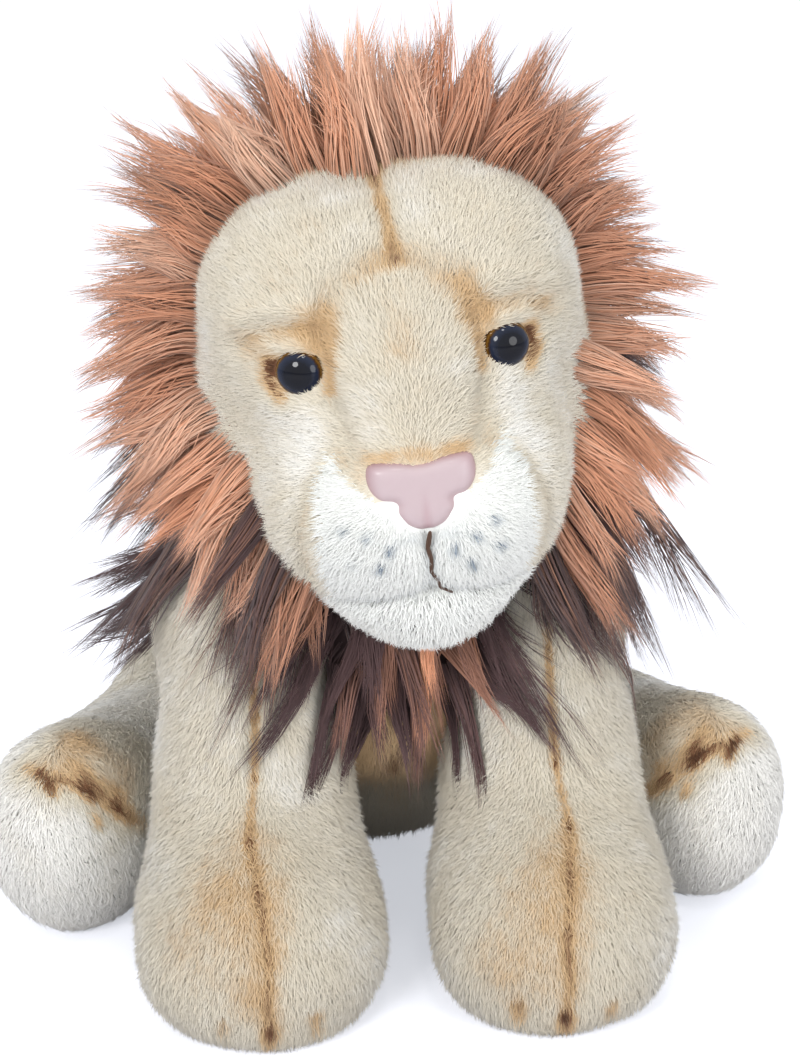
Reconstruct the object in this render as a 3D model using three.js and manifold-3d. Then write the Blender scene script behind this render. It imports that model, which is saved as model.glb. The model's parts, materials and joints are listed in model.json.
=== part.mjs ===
// A sitting plush lion: sewn covers over stuffing, a long-pile mane, plastic eyes and a moulded nose.
// Millimetres, +Z up, the lion looks along -Y. Left is -X, the left side for someone who faces it.
import * as THREE from 'three';
import { mergeVertices } from 'three/addons/utils/BufferGeometryUtils.js';
import Module from 'manifold-3d';

const wasm = await Module();
wasm.setup();

// Driving dimensions

// Cloth and clearances
const clothThickness = 2.5;
const seamGap = 0.3;
const fitGap = 0.3;
const swivelGap = 0.7;
const pivotGap = 1.4;
const washerGap = 1.2;
const cutOverrun = 400;
const normalStep = 0.05;
const weldStep = 0.0001;

// Torso, measured from the middle of the seat
const torso = {
  halfWidth: 58,
  reach: 108,
  height: 156,
  blend: 9,
  rings: 10,
  sides: 14,
  capShare: 0.3,
};

// Where the head, legs and tail join the torso, as shares of its half width, reach and height
const jointShares = {
  head: [0, -0.8148, 1.2692],
  foreleg: [0.7931, -0.7963, 0],
  hindleg: [1.0345, 0.0185, 0],
  tail: [0, 0.4537, 0.1538],
};

// Head, measured from the middle of the neck ball
const head = {
  halfWidth: 57,
  reach: 76,
  height: 62,
  blend: 6,
  hairlineBack: 10,
  browLine: 29,
  rings: 14,
  sides: 20,
  capShare: 0.4,
};
const headRoll = THREE.MathUtils.degToRad(-6);

// Neck ball, which the head turns and nods on
const neck = {
  ballRadius: 50,
  collarThickness: 2.6,
  headConeAngle: THREE.MathUtils.degToRad(52),
  collarOuterAngle: THREE.MathUtils.degToRad(40),
  collarInnerAngle: THREE.MathUtils.degToRad(16),
  lean: THREE.MathUtils.degToRad(24.6),
  segments: 36,
};

// Mane, a thick ring of long pile round the face, with pointed locks round its rim
const mane = {
  halfWidth: 87,
  halfDepth: 41,
  halfHeight: 86,
  back: 17,
  lift: 14,
  rustDepth: 22,
  sideHem: 38,
  backHem: 33,
  locks: 16,
  bands: 8,
};
const lockShare = 0.08;
const crownHalfAngle = THREE.MathUtils.degToRad(42);

// Ears, small flaps that stand in the mane
const ear = {
  halfWidth: 13,
  halfThickness: 4,
  halfHeight: 15,
  apart: 38,
  back: 8,
  lift: 58,
  segments: 12,
  bands: 8,
};
const earLean = THREE.MathUtils.degToRad(32);

// Front legs, measured from under the shoulder
const foreleg = {
  halfWidth: 35.5,
  reach: 84,
  height: 142,
  blend: 5,
  rings: 10,
  sides: 10,
  capShare: 0.28,
};

// Hind legs, measured from under the hip
const hindleg = {
  width: 69,
  reach: 106,
  height: 71,
  blend: 6,
  rings: 9,
  sides: 10,
  capShare: 0.3,
};

// How far the limbs turn at their joints, and how finely their rooms in the torso are swept
const legTurn = THREE.MathUtils.degToRad(18);
const tailTurn = THREE.MathUtils.degToRad(25);
const sweepSteps = 4;
const roomSegments = 24;

// Tail
const tail = {
  radius: 8,
  length: 118,
  sides: 4,
  steps: 10,
  tuftLength: 46,
  tuftRadius: 13,
  tuftSides: 10,
  tuftRings: 8,
};

// Safety eyes
const eye = {
  radius: 7,
  dome: 5.2,
  seatDepth: 1.4,
  shankRadius: 2.2,
  shankLength: 11,
  washerRadius: 7.5,
  washerThickness: 1.6,
  clearHeight: 10.4,
  segments: 14,
};
const eyeShares = { apart: 0.5263, lift: 0.3226 };

// Moulded nose
const nose = {
  halfWidth: 13.4,
  height: 20.5,
  thickness: 5,
  bevel: 1.6,
  top: -3.5,
  shankRadius: 2.6,
  shankLength: 13,
  washerRadius: 7,
  washerThickness: 1.6,
};
const noseTilt = THREE.MathUtils.degToRad(-8);

// Thread of the sewn mouth and toes
const thread = { radius: 0.8, sides: 3, steps: 8 };

// Pellet bag that weighs the seat down
const pelletBag = { radius: 24, height: 24, floorGap: 0.6, segments: 14, arcSteps: 4 };

// Materials

function finish(name, color, roughness) {
  return new THREE.MeshStandardMaterial({ name, color, roughness, metalness: 0 });
}

const cloth = (name, color) => finish(name, color, 0.95);
const ivoryPlush = cloth('plush_ivory', 0xe3d8c0);
const whitePlush = cloth('plush_white', 0xf2f2ea);
const rustFur = cloth('fur_rust', 0xb9704a);
const darkFur = cloth('fur_dark', 0x4a3236);
const fill = cloth('stuffing', 0xf4f1ea);
const bagCloth = cloth('bag_cloth', 0xb9b4a8);
const brownThread = cloth('thread_brown', 0x5c3c2c);
const noseVinyl = finish('nose_vinyl', 0xdcb4b6, 0.5);
const eyeGloss = finish('eye_gloss', 0x14120f, 0.08);
const lockWhite = finish('lock_white', 0xe8e8e4, 0.5);

// Solids from geometries and back

function solidOf(geometry) {
  const plain = geometry.index ? geometry.toNonIndexed() : geometry.clone();
  plain.deleteAttribute('normal');
  plain.deleteAttribute('uv');
  const merged = mergeVertices(plain, weldStep);
  const position = merged.getAttribute('position');
  const mesh = new wasm.Mesh({
    numProp: 3,
    vertProperties: new Float32Array(position.array),
    triVerts: new Uint32Array(merged.index.array),
  });
  return new wasm.Manifold(mesh);
}

function geometryOf(solid) {
  const mesh = solid.getMesh();
  const geometry = new THREE.BufferGeometry();
  geometry.setAttribute('position', new THREE.BufferAttribute(new Float32Array(mesh.vertProperties), 3));
  geometry.setIndex(new THREE.BufferAttribute(new Uint32Array(mesh.triVerts), 1));
  geometry.computeVertexNormals();
  return geometry;
}

function boxSolid(low, high) {
  const size = high.clone().sub(low);
  const geometry = new THREE.BoxGeometry(size.x, size.y, size.z);
  const middle = low.clone().add(high).multiplyScalar(0.5);
  geometry.translate(middle.x, middle.y, middle.z);
  return solidOf(geometry);
}

function ballSolid(centre, radius, segments) {
  const geometry = new THREE.SphereGeometry(radius, segments, segments / 2);
  geometry.translate(centre.x, centre.y, centre.z);
  return solidOf(geometry);
}

// A turned profile of (radius, height) pairs, set at a point with its height along a direction
function turnedSolid(profile, point, direction, segments) {
  const geometry = new THREE.LatheGeometry(profile.map(([r, h]) => new THREE.Vector2(r, h)), segments);
  const turn = new THREE.Quaternion().setFromUnitVectors(new THREE.Vector3(0, 1, 0), direction);
  geometry.applyQuaternion(turn);
  geometry.translate(point.x, point.y, point.z);
  return solidOf(geometry);
}

// An outline of (x, z) points, pushed through along Y
function throughSolid(outline, yLow, yHigh) {
  const shape = new THREE.Shape(outline.map(([x, z]) => new THREE.Vector2(x, z)));
  const geometry = new THREE.ExtrudeGeometry(shape, { depth: yHigh - yLow, bevelEnabled: false, steps: 1 });
  geometry.rotateX(Math.PI / 2);
  geometry.translate(0, yHigh, 0);
  return solidOf(geometry);
}

// The same outline, given counterclockwise, with every side moved out by a distance
function grownOutline(outline, distance) {
  return outline.map((point, i) => {
    const before = outline[(i + outline.length - 1) % outline.length];
    const after = outline[(i + 1) % outline.length];
    const sideIn = new THREE.Vector2(point[0] - before[0], point[1] - before[1]).normalize();
    const sideOut = new THREE.Vector2(after[0] - point[0], after[1] - point[1]).normalize();
    const normalIn = new THREE.Vector2(sideIn.y, -sideIn.x);
    const normalOut = new THREE.Vector2(sideOut.y, -sideOut.x);
    const middle = normalIn.clone().add(normalOut).normalize();
    const stretch = distance / middle.dot(normalIn);
    return [point[0] + middle.x * stretch, point[1] + middle.y * stretch];
  });
}

// A half space as a large block, on the side of a plane that its normal points to
function halfSolid(point, normal) {
  const geometry = new THREE.BoxGeometry(cutOverrun * 2, cutOverrun * 2, cutOverrun);
  geometry.translate(0, 0, cutOverrun / 2);
  const way = normal.clone().normalize();
  const turn = new THREE.Quaternion().setFromUnitVectors(new THREE.Vector3(0, 0, 1), way);
  geometry.applyQuaternion(turn);
  geometry.translate(point.x, point.y, point.z);
  return solidOf(geometry);
}

// Stuffed forms: ellipsoids that melt together, sampled outwards from a line inside them

// A lobe holds its middle and half sizes as shares of the form's unit sizes, and a tilt about X
function lobesOf(shares, unit, origin) {
  return shares.map(({ at, half, tilt = 0 }) => ({
    centre: new THREE.Vector3(at[0] * unit.x, at[1] * unit.y, at[2] * unit.z).add(origin),
    half: new THREE.Vector3(half[0] * unit.x, half[1] * unit.y, half[2] * unit.z),
    tilt: THREE.MathUtils.degToRad(tilt),
  }));
}

function lobeDistance(lobe, p) {
  const x = p.x - lobe.centre.x;
  const dy = p.y - lobe.centre.y;
  const dz = p.z - lobe.centre.z;
  const y = dy * Math.cos(lobe.tilt) + dz * Math.sin(lobe.tilt);
  const z = dz * Math.cos(lobe.tilt) - dy * Math.sin(lobe.tilt);
  const level = Math.hypot(x / lobe.half.x, y / lobe.half.y, z / lobe.half.z);
  const slope = Math.hypot(x / lobe.half.x ** 2, y / lobe.half.y ** 2, z / lobe.half.z ** 2);
  return slope > 0 ? (level * (level - 1)) / slope : -Math.min(lobe.half.x, lobe.half.y, lobe.half.z);
}

function formDistance(form, p) {
  const distances = form.lobes.map((lobe) => lobeDistance(lobe, p));
  const nearest = Math.min(...distances);
  const total = distances.reduce((sum, d) => sum + Math.exp((nearest - d) / form.blend), 0);
  return nearest - form.blend * Math.log(total);
}

function formNormal(form, p) {
  const step = (axis) => {
    const ahead = p.clone().addScaledVector(axis, normalStep);
    const behind = p.clone().addScaledVector(axis, -normalStep);
    return formDistance(form, ahead) - formDistance(form, behind);
  };
  const slope = new THREE.Vector3(
    step(new THREE.Vector3(1, 0, 0)),
    step(new THREE.Vector3(0, 1, 0)),
    step(new THREE.Vector3(0, 0, 1)),
  );
  return slope.normalize();
}

// The outermost point of a form along a ray
function formPoint(form, from, direction) {
  const coarseSteps = 120;
  const fineSteps = 30;
  let outside = form.extent;
  let inside = 0;
  for (let i = coarseSteps; i >= 0; i -= 1) {
    const distance = (form.extent * i) / coarseSteps;
    if (formDistance(form, from.clone().addScaledVector(direction, distance)) < 0) {
      inside = distance;
      break;
    }
    outside = distance;
  }
  for (let i = 0; i < fineSteps; i += 1) {
    const middle = (inside + outside) / 2;
    if (formDistance(form, from.clone().addScaledVector(direction, middle)) < 0) {
      inside = middle;
    } else {
      outside = middle;
    }
  }
  return from.clone().addScaledVector(direction, inside);
}

// Rings of surface points from one end of the inner line to the other, with a pole at each end
function sampleForm(form) {
  const line = form.to.clone().sub(form.from);
  const along = line.clone().normalize();
  const across = new THREE.Vector3(1, 0, 0);
  across.addScaledVector(along, -along.x).normalize();
  const up = new THREE.Vector3().crossVectors(along, across);
  const capRings = Math.max(2, Math.round(form.rings * form.capShare));
  const rings = [];
  for (let i = 1; i < form.rings; i += 1) {
    const lower = Math.min(i, capRings) / capRings;
    const upper = Math.max(i - (form.rings - capRings), 0) / capRings;
    const middle = (i - capRings) / (form.rings - 2 * capRings);
    const share = Math.min(Math.max(middle, 0), 1);
    const polar = (Math.PI / 2) * (2 - lower - upper);
    const from = form.from.clone().addScaledVector(line, share);
    const ring = [];
    for (let j = 0; j < form.sides; j += 1) {
      const round = (2 * Math.PI * j) / form.sides;
      const direction = along.clone().multiplyScalar(Math.cos(polar));
      direction.addScaledVector(across, Math.sin(polar) * Math.cos(round));
      direction.addScaledVector(up, Math.sin(polar) * Math.sin(round));
      ring.push(formPoint(form, from, direction));
    }
    rings.push(ring);
  }
  const start = formPoint(form, form.from, along.clone().negate());
  const end = formPoint(form, form.to, along);
  const points = [start, ...rings.flat(), end];
  return { points, normals: points.map((p) => formNormal(form, p)), ringCount: rings.length };
}

// The form as a closed solid, with every point moved in along its normal
function formSolid(form, inset) {
  form.sample ??= sampleForm(form);
  const { points, normals, ringCount } = form.sample;
  const moved = points.map((p, i) => p.clone().addScaledVector(normals[i], -inset));
  const index = [];
  const at = (ring, side) => 1 + ring * form.sides + (side % form.sides);
  const last = points.length - 1;
  for (let j = 0; j < form.sides; j += 1) {
    index.push(0, at(0, j + 1), at(0, j));
    index.push(last, at(ringCount - 1, j), at(ringCount - 1, j + 1));
    for (let i = 0; i < ringCount - 1; i += 1) {
      index.push(at(i, j), at(i, j + 1), at(i + 1, j + 1));
      index.push(at(i, j), at(i + 1, j + 1), at(i + 1, j));
    }
  }
  const geometry = new THREE.BufferGeometry();
  const flat = moved.flatMap((p) => [p.x, p.y, p.z]);
  geometry.setAttribute('position', new THREE.BufferAttribute(new Float32Array(flat), 3));
  geometry.setIndex(index);
  return solidOf(geometry);
}

const coverOf = (form) => formSolid(form, 0).subtract(formSolid(form, clothThickness));
const fillOf = (form) => formSolid(form, clothThickness + fitGap);

// A thread laid on points, as an unbroken tube
function threadSolid(points, radius) {
  const path = new THREE.CatmullRomCurve3(points);
  const section = new THREE.Shape();
  section.absarc(0, 0, radius, 0, 2 * Math.PI);
  const geometry = new THREE.ExtrudeGeometry(section, {
    steps: thread.steps,
    curveSegments: thread.sides,
    extrudePath: path,
    bevelEnabled: false,
  });
  return solidOf(geometry);
}

// The largest of a solid's separate bodies, without the scraps that a cut leaves beside a limb
function mainBody(solid) {
  const bodies = solid.decompose();
  return bodies.reduce((largest, body) => (body.volume() > largest.volume() ? body : largest));
}

function addPiece(parent, name, solid, material) {
  const mesh = new THREE.Mesh(geometryOf(mainBody(solid)), material);
  mesh.name = name;
  parent.add(mesh);
}

// Where the limbs and the head join the torso

const torsoUnit = new THREE.Vector3(torso.halfWidth, torso.reach, torso.height);
const jointPoint = ([x, y, z], side = 1) => new THREE.Vector3(side * x, y, z).multiply(torsoUnit);
const headCentre = jointPoint(jointShares.head);
const tailRoot = jointPoint(jointShares.tail);
const xAxis = new THREE.Vector3(1, 0, 0);
const yAxis = new THREE.Vector3(0, 1, 0);
const zAxis = new THREE.Vector3(0, 0, 1);

// The finished group

const lion = new THREE.Group();
const headGroup = new THREE.Group();
headGroup.position.copy(headCentre);
headGroup.rotation.y = headRoll;
lion.add(headGroup);

// A solid at several turns about a point between two angles, as one
function sweptSolid(solid, point, axis, low, high) {
  const rooms = [];
  for (let i = 0; i <= sweepSteps; i += 1) {
    const angle = THREE.MathUtils.lerp(low, high, i / sweepSteps);
    const move = new THREE.Matrix4().makeTranslation(point);
    move.multiply(new THREE.Matrix4().makeRotationAxis(axis, angle));
    move.multiply(new THREE.Matrix4().makeTranslation(point.clone().negate()));
    rooms.push(solid.transform(move.toArray()));
  }
  return wasm.Manifold.union(rooms);
}

// Shared cutters

const aboveFloor = halfSolid(new THREE.Vector3(0, 0, 0), zAxis);
const soleTop = clothThickness;
const aboveSole = halfSolid(new THREE.Vector3(0, 0, soleTop + fitGap), zAxis);
const belowSoleTop = halfSolid(new THREE.Vector3(0, 0, soleTop), zAxis.clone().negate());

// Keeps the part of a solid on one side of a plane x = place, less half a seam gap
function sideOf(solid, place, side) {
  const point = new THREE.Vector3(place + (side * seamGap) / 2, 0, 0);
  return solid.intersect(halfSolid(point, xAxis.clone().multiplyScalar(side)));
}

// Legs

const forelegShares = [
  { at: [0, 0, 0.79], half: [0.76, 0.335, 0.205] },
  { at: [0, -0.2, 0.5], half: [0.76, 0.31, 0.31] },
  { at: [0, -0.5, 0.21], half: [1, 0.476, 0.24] },
  { at: [0, -0.7, 0.14], half: [0.93, 0.29, 0.17] },
];

function forelegForm(side) {
  const origin = jointPoint(jointShares.foreleg, side);
  const unit = new THREE.Vector3(foreleg.halfWidth, foreleg.reach, foreleg.height);
  const lobes = lobesOf(forelegShares, unit, origin);
  const form = { ...foreleg, lobes };
  form.from = lobes[2].centre.clone();
  form.to = lobes[0].centre.clone();
  form.extent = foreleg.height;
  form.ball = lobes[0].centre.clone();
  form.ballRadius = Math.max(lobes[0].half.x, lobes[0].half.y, lobes[0].half.z) + swivelGap;
  return form;
}

const hindlegShares = [
  { at: [0, 0, 0.48], half: [0.44, 0.29, 0.445] },
  { at: [0.42, -0.43, 0.4], half: [0.38, 0.32, 0.42] },
  { at: [0.67, -0.75, 0.48], half: [0.38, 0.25, 0.5] },
];

function hindlegForm(side) {
  const origin = jointPoint(jointShares.hindleg, side);
  const unit = new THREE.Vector3(side * hindleg.width, hindleg.reach, hindleg.height);
  const lobes = lobesOf(hindlegShares, unit, origin);
  lobes.forEach((lobe) => lobe.half.setX(Math.abs(lobe.half.x)));
  const form = { ...hindleg, lobes };
  form.from = lobes[0].centre.clone();
  form.to = lobes[2].centre.clone();
  form.extent = hindleg.reach;
  form.ball = lobes[0].centre.clone();
  form.ballRadius = Math.max(lobes[0].half.x, lobes[0].half.y, lobes[0].half.z) + swivelGap;
  return form;
}

const forelegs = { left: forelegForm(-1), right: forelegForm(1) };
const hindlegs = { left: hindlegForm(-1), right: hindlegForm(1) };

for (const [name, side] of [['left', -1], ['right', 1]]) {
  const form = forelegs[name];
  const cover = coverOf(form).intersect(aboveFloor);
  const seam = form.ball.x;
  addPiece(lion, `front_${name}_leg_outer_panel`, sideOf(cover, seam, side), ivoryPlush);
  addPiece(lion, `front_${name}_leg_inner_panel`, sideOf(cover, seam, -side), ivoryPlush);
  const core = fillOf(form);
  addPiece(lion, `front_${name}_paw_sole`, core.intersect(aboveFloor).intersect(belowSoleTop), ivoryPlush);
  addPiece(lion, `front_${name}_leg_stuffing`, core.intersect(aboveSole), fill);
}

// The hind foot's seam stands square to the leg's line, between the furry leg and the toe panel
for (const [name, side] of [['left', -1], ['right', 1]]) {
  const form = hindlegs[name];
  const cover = coverOf(form).intersect(aboveFloor);
  const along = form.to.clone().sub(form.from).setZ(0).normalize();
  const ankle = form.lobes[2].centre.clone();
  const toeSide = halfSolid(ankle.clone().addScaledVector(along, seamGap / 2), along);
  const legSide = halfSolid(ankle.clone().addScaledVector(along, -seamGap / 2), along.clone().negate());
  const crest = new THREE.Vector3(along.y, -along.x, 0).multiplyScalar(side);
  const outerPoint = form.from.clone().addScaledVector(crest, -seamGap / 2);
  const outerHalf = halfSolid(outerPoint, crest.clone().negate());
  const innerHalf = halfSolid(form.from.clone().addScaledVector(crest, seamGap / 2), crest);
  const legCover = cover.intersect(legSide);
  addPiece(lion, `hind_${name}_leg_outer_panel`, legCover.intersect(outerHalf), ivoryPlush);
  addPiece(lion, `hind_${name}_leg_inner_panel`, legCover.intersect(innerHalf), ivoryPlush);
  addPiece(lion, `hind_${name}_toe_panel`, cover.intersect(toeSide), ivoryPlush);
  addPiece(lion, `hind_${name}_leg_stuffing`, fillOf(form), fill);
}

// The tail's curve, and a tube along it

const tailPoints = [
  [0, 0, 0],
  [0.02, 0.16, -0.06],
  [0.1, 0.3, -0.11],
  [0.28, 0.38, -0.125],
  [0.46, 0.35, -0.125],
].map(([x, y, z]) => new THREE.Vector3(x, y, z).multiplyScalar(tail.length).add(tailRoot));
const tailPath = new THREE.CatmullRomCurve3(tailPoints);

function tailTube(outer, inner) {
  const section = new THREE.Shape();
  section.absarc(0, 0, outer, 0, 2 * Math.PI);
  if (inner > 0) {
    const hole = new THREE.Path();
    hole.absarc(0, 0, inner, 0, 2 * Math.PI);
    section.holes.push(hole);
  }
  const geometry = new THREE.ExtrudeGeometry(section, {
    steps: tail.steps,
    curveSegments: tail.sides,
    extrudePath: tailPath,
    bevelEnabled: false,
  });
  return solidOf(geometry);
}

// Torso

const torsoShares = [
  { at: [0, 0.037, 0.218], half: [1, 0.463, 0.282] },
  { at: [0, -0.26, 0.46], half: [0.95, 0.445, 0.36] },
  { at: [0, -0.61, 0.66], half: [0.845, 0.39, 0.33] },
  { at: [0, -0.65, 0.808], half: [0.72, 0.333, 0.212] },
];
const capeShares = { front: [-0.95, 0.62], back: [-0.05, 0.8] };
const bibShare = 0.62;
const bellyShare = 0.36;

const torsoLobes = lobesOf(torsoShares, torsoUnit, new THREE.Vector3(0, 0, 0));
const torsoForm = { ...torso, lobes: torsoLobes, extent: torso.height };
torsoForm.from = torsoForm.lobes[0].centre.clone();
torsoForm.to = torsoForm.lobes[3].centre.clone();

const neckDown = new THREE.Vector3(0, Math.sin(neck.lean), -Math.cos(neck.lean));
const collarInner = neck.ballRadius + swivelGap;
const collarOuter = collarInner + neck.collarThickness;
const socketRadius = collarOuter + swivelGap;

// A cone of directions that opens from a point
function coneSolid(apex, direction, halfAngle) {
  const height = cutOverrun / 2;
  const profile = [[0, 0], [height * Math.tan(halfAngle), height], [0, height]];
  return turnedSolid(profile, apex, direction, neck.segments);
}

// A limb's room in the torso: a ball round its joint, and the limb at every turn that it can take
function limbRoom(form, axis, low, high) {
  const ball = ballSolid(form.ball, form.ballRadius, roomSegments);
  return ball.add(sweptSolid(formSolid(form, -fitGap), form.ball, axis, low, high));
}

const limbRooms = [
  ballSolid(headCentre, socketRadius, neck.segments),
  ballSolid(tailRoot, tail.radius + pivotGap, roomSegments),
  sweptSolid(tailTube(tail.radius + fitGap, 0), tailRoot, zAxis, -tailTurn, tailTurn),
  ...Object.values(forelegs).map((form) => limbRoom(form, xAxis, -legTurn, 0)),
  limbRoom(hindlegs.left, zAxis, -legTurn, 0),
  limbRoom(hindlegs.right, zAxis, 0, legTurn),
];
const clearOfLimbs = (solid) => limbRooms.reduce((left, room) => left.subtract(room), solid);

const torsoCover = clearOfLimbs(coverOf(torsoForm)).intersect(aboveFloor);
const torsoCore = clearOfLimbs(fillOf(torsoForm));

const capeFront = new THREE.Vector3(0, ...capeShares.front).multiply(torsoUnit);
const capeBack = new THREE.Vector3(0, ...capeShares.back).multiply(torsoUnit);
const capeSlope = capeBack.clone().sub(capeFront).normalize();
const capeUp = new THREE.Vector3(0, -capeSlope.z, capeSlope.y);
const capeDown = capeUp.clone().negate();
const aboveCape = halfSolid(capeFront.clone().addScaledVector(capeUp, seamGap / 2), capeUp);
const belowCape = halfSolid(capeFront.clone().addScaledVector(capeDown, seamGap / 2), capeDown);
const bibPlane = -bibShare * torso.reach;
const beforeBib = halfSolid(new THREE.Vector3(0, bibPlane - seamGap / 2, 0), yAxis.clone().negate());
const behindBib = halfSolid(new THREE.Vector3(0, bibPlane + seamGap / 2, 0), yAxis);

const cape = torsoCover.intersect(aboveCape);
addPiece(lion, 'chest_bib', cape.intersect(beforeBib), darkFur);
addPiece(lion, 'shoulder_cape', cape.intersect(behindBib), darkFur);

const bellyHalf = bellyShare * torso.halfWidth;
const bellyBlock = boxSolid(
  new THREE.Vector3(-bellyHalf, -cutOverrun, -cutOverrun),
  new THREE.Vector3(bellyHalf, torsoForm.lobes[1].centre.y, cutOverrun),
);
const bellyRoom = boxSolid(
  new THREE.Vector3(-bellyHalf - seamGap, -cutOverrun, -cutOverrun),
  new THREE.Vector3(bellyHalf + seamGap, torsoForm.lobes[1].centre.y + seamGap, cutOverrun),
);
const lowerCover = torsoCover.intersect(belowCape);
addPiece(lion, 'belly_panel', lowerCover.intersect(bellyBlock), ivoryPlush);
addPiece(lion, 'back_left_panel', sideOf(lowerCover.subtract(bellyRoom), 0, -1), ivoryPlush);
addPiece(lion, 'back_right_panel', sideOf(lowerCover.subtract(bellyRoom), 0, 1), ivoryPlush);
addPiece(lion, 'seat_panel', torsoCore.intersect(aboveFloor).intersect(belowSoleTop), ivoryPlush);

const bagBase = new THREE.Vector3(0, torsoForm.lobes[0].centre.y, soleTop + pelletBag.floorGap);

// The bag's half outline from the middle of its flat bottom to its top, moved out by a distance
function bagProfile(distance) {
  const profile = [[0, -distance], [pelletBag.radius + distance, -distance]];
  for (let i = 0; i < pelletBag.arcSteps; i += 1) {
    const angle = (Math.PI * i) / (2 * pelletBag.arcSteps);
    const across = (pelletBag.radius + distance) * Math.cos(angle);
    profile.push([across, (pelletBag.height + distance) * Math.sin(angle)]);
  }
  profile.push([0, pelletBag.height + distance]);
  return distance > 0 ? profile : profile.filter((point, i) => i !== 1);
}

const bagSolid = turnedSolid(bagProfile(0), bagBase, zAxis, pelletBag.segments);
const bagRoom = turnedSolid(bagProfile(fitGap), bagBase, zAxis, pelletBag.segments);
addPiece(lion, 'pellet_bag', bagSolid, bagCloth);
addPiece(lion, 'body_stuffing', torsoCore.intersect(aboveSole).subtract(bagRoom), fill);

// Neck collar, a ring of cloth that lies between the head's ball and the chest's hollow

const collarShell = ballSolid(headCentre, collarOuter, neck.segments)
  .subtract(ballSolid(headCentre, collarInner, neck.segments));
const collar = collarShell
  .intersect(coneSolid(headCentre, neckDown, neck.collarOuterAngle))
  .subtract(coneSolid(headCentre, neckDown, neck.collarInnerAngle));
addPiece(lion, 'neck_collar', collar, darkFur);

// Tail

const tailEnd = tailPath.getPointAt(1);
const tailWay = tailPath.getTangentAt(1);

// The tuft, a long pointed body that turns on the tail's end
function tuftSolid(grow) {
  const geometry = new THREE.SphereGeometry(1, tail.tuftSides, tail.tuftRings);
  geometry.rotateX(Math.PI / 2);
  geometry.scale(tail.tuftRadius + grow, tail.tuftRadius + grow, tail.tuftLength / 2 + grow);
  geometry.applyQuaternion(new THREE.Quaternion().setFromUnitVectors(zAxis, tailWay));
  const middle = tailEnd.clone().addScaledVector(tailWay, tail.tuftLength / 2 + fitGap);
  geometry.translate(middle.x, middle.y, middle.z);
  return solidOf(geometry);
}

const tuftRoom = sweptSolid(tuftSolid(fitGap), tailEnd, zAxis, -tailTurn, tailTurn);
const tailCover = tailTube(tail.radius, tail.radius - clothThickness);
addPiece(lion, 'tail_cover', tailCover.subtract(tuftRoom), ivoryPlush);
addPiece(lion, 'tail_stuffing', tailTube(tail.radius - clothThickness - fitGap, 0).subtract(tuftRoom), fill);
addPiece(lion, 'tail_tuft', tuftSolid(0).intersect(aboveFloor), darkFur);

// Head

const headShares = [
  { at: [0, 0.05, 0.13], half: [0.98, 0.63, 0.87] },
  { at: [-0.4, -0.29, 0.52], half: [0.51, 0.37, 0.45] },
  { at: [0.4, -0.29, 0.52], half: [0.51, 0.37, 0.45] },
  { at: [-0.54, -0.21, -0.23], half: [0.44, 0.39, 0.58] },
  { at: [0.54, -0.21, -0.23], half: [0.44, 0.39, 0.58] },
  { at: [0, -0.6, 0.28], half: [0.37, 0.25, 0.55], tilt: -38 },
  { at: [-0.36, -0.5, 0.2], half: [0.33, 0.2, 0.33] },
  { at: [0.36, -0.5, 0.2], half: [0.33, 0.2, 0.33] },
  { at: [-0.25, -0.76, -0.4], half: [0.3, 0.24, 0.32] },
  { at: [0.25, -0.76, -0.4], half: [0.3, 0.24, 0.32] },
  { at: [0, -0.6, -0.29], half: [0.42, 0.32, 0.39] },
  { at: [0, -0.32, -0.55], half: [0.6, 0.42, 0.48] },
  { at: [-0.46, -0.54, -0.38], half: [0.33, 0.29, 0.4] },
  { at: [0.46, -0.54, -0.38], half: [0.33, 0.29, 0.4] },
  { at: [0, -0.58, -0.81], half: [0.39, 0.28, 0.33] },
];
const innerLineShares = { from: [0, -0.32, -0.32], to: [0, -0.05, 0.26] };

const headUnit = new THREE.Vector3(head.halfWidth, head.reach, head.height);
const headOrigin = new THREE.Vector3(0, 0, 0);
const headLobes = lobesOf(headShares, headUnit, headOrigin);
const headForm = { ...head, lobes: headLobes, extent: head.reach + head.height };
headForm.from = new THREE.Vector3(...innerLineShares.from).multiply(headUnit);
headForm.to = new THREE.Vector3(...innerLineShares.to).multiply(headUnit);

const neckHere = neckDown.clone().applyAxisAngle(yAxis, -headRoll);
const neckBall = ballSolid(headOrigin, neck.ballRadius, neck.segments);
const neckCut = coneSolid(headOrigin, neckHere, neck.headConeAngle).subtract(neckBall);
const headCover = coverOf(headForm).subtract(neckCut);
const yPlane = (y) => new THREE.Vector3(0, y, 0);
const forward = yAxis.clone().negate();

// Outlines of the face panels, seen from the front, as shares of the half width and the height
const bridgeShares = [
  [0.28, -0.08], [0.42, 0.05], [0.4, 0.4], [0.35, 0.56], [0.17, 0.78],
  [-0.17, 0.78], [-0.35, 0.56], [-0.4, 0.4], [-0.42, 0.05], [-0.28, -0.08],
];
const muzzleShares = [
  [0, -0.75], [0.5, -0.75], [0.6, -0.55], [0.57, -0.2], [0.43, 0.05], [0.28, -0.08], [0, -0.08],
];
const chinShares = [[-0.54, -0.75], [-0.5, -1.5], [0.5, -1.5], [0.54, -0.75]];
const outlineOf = (shares, side = 1) => shares.map(([x, z]) => [side * x * headUnit.x, z * headUnit.z]);
const mirrored = (shares) => outlineOf(shares, -1).reverse();
const faceCuts = {
  nose_bridge_panel: { outline: outlineOf(bridgeShares), material: ivoryPlush },
  muzzle_left_panel: { outline: mirrored(muzzleShares), material: whitePlush, side: -1 },
  muzzle_right_panel: { outline: outlineOf(muzzleShares), material: whitePlush, side: 1 },
  chin_panel: { outline: outlineOf(chinShares), material: whitePlush },
};

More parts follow.
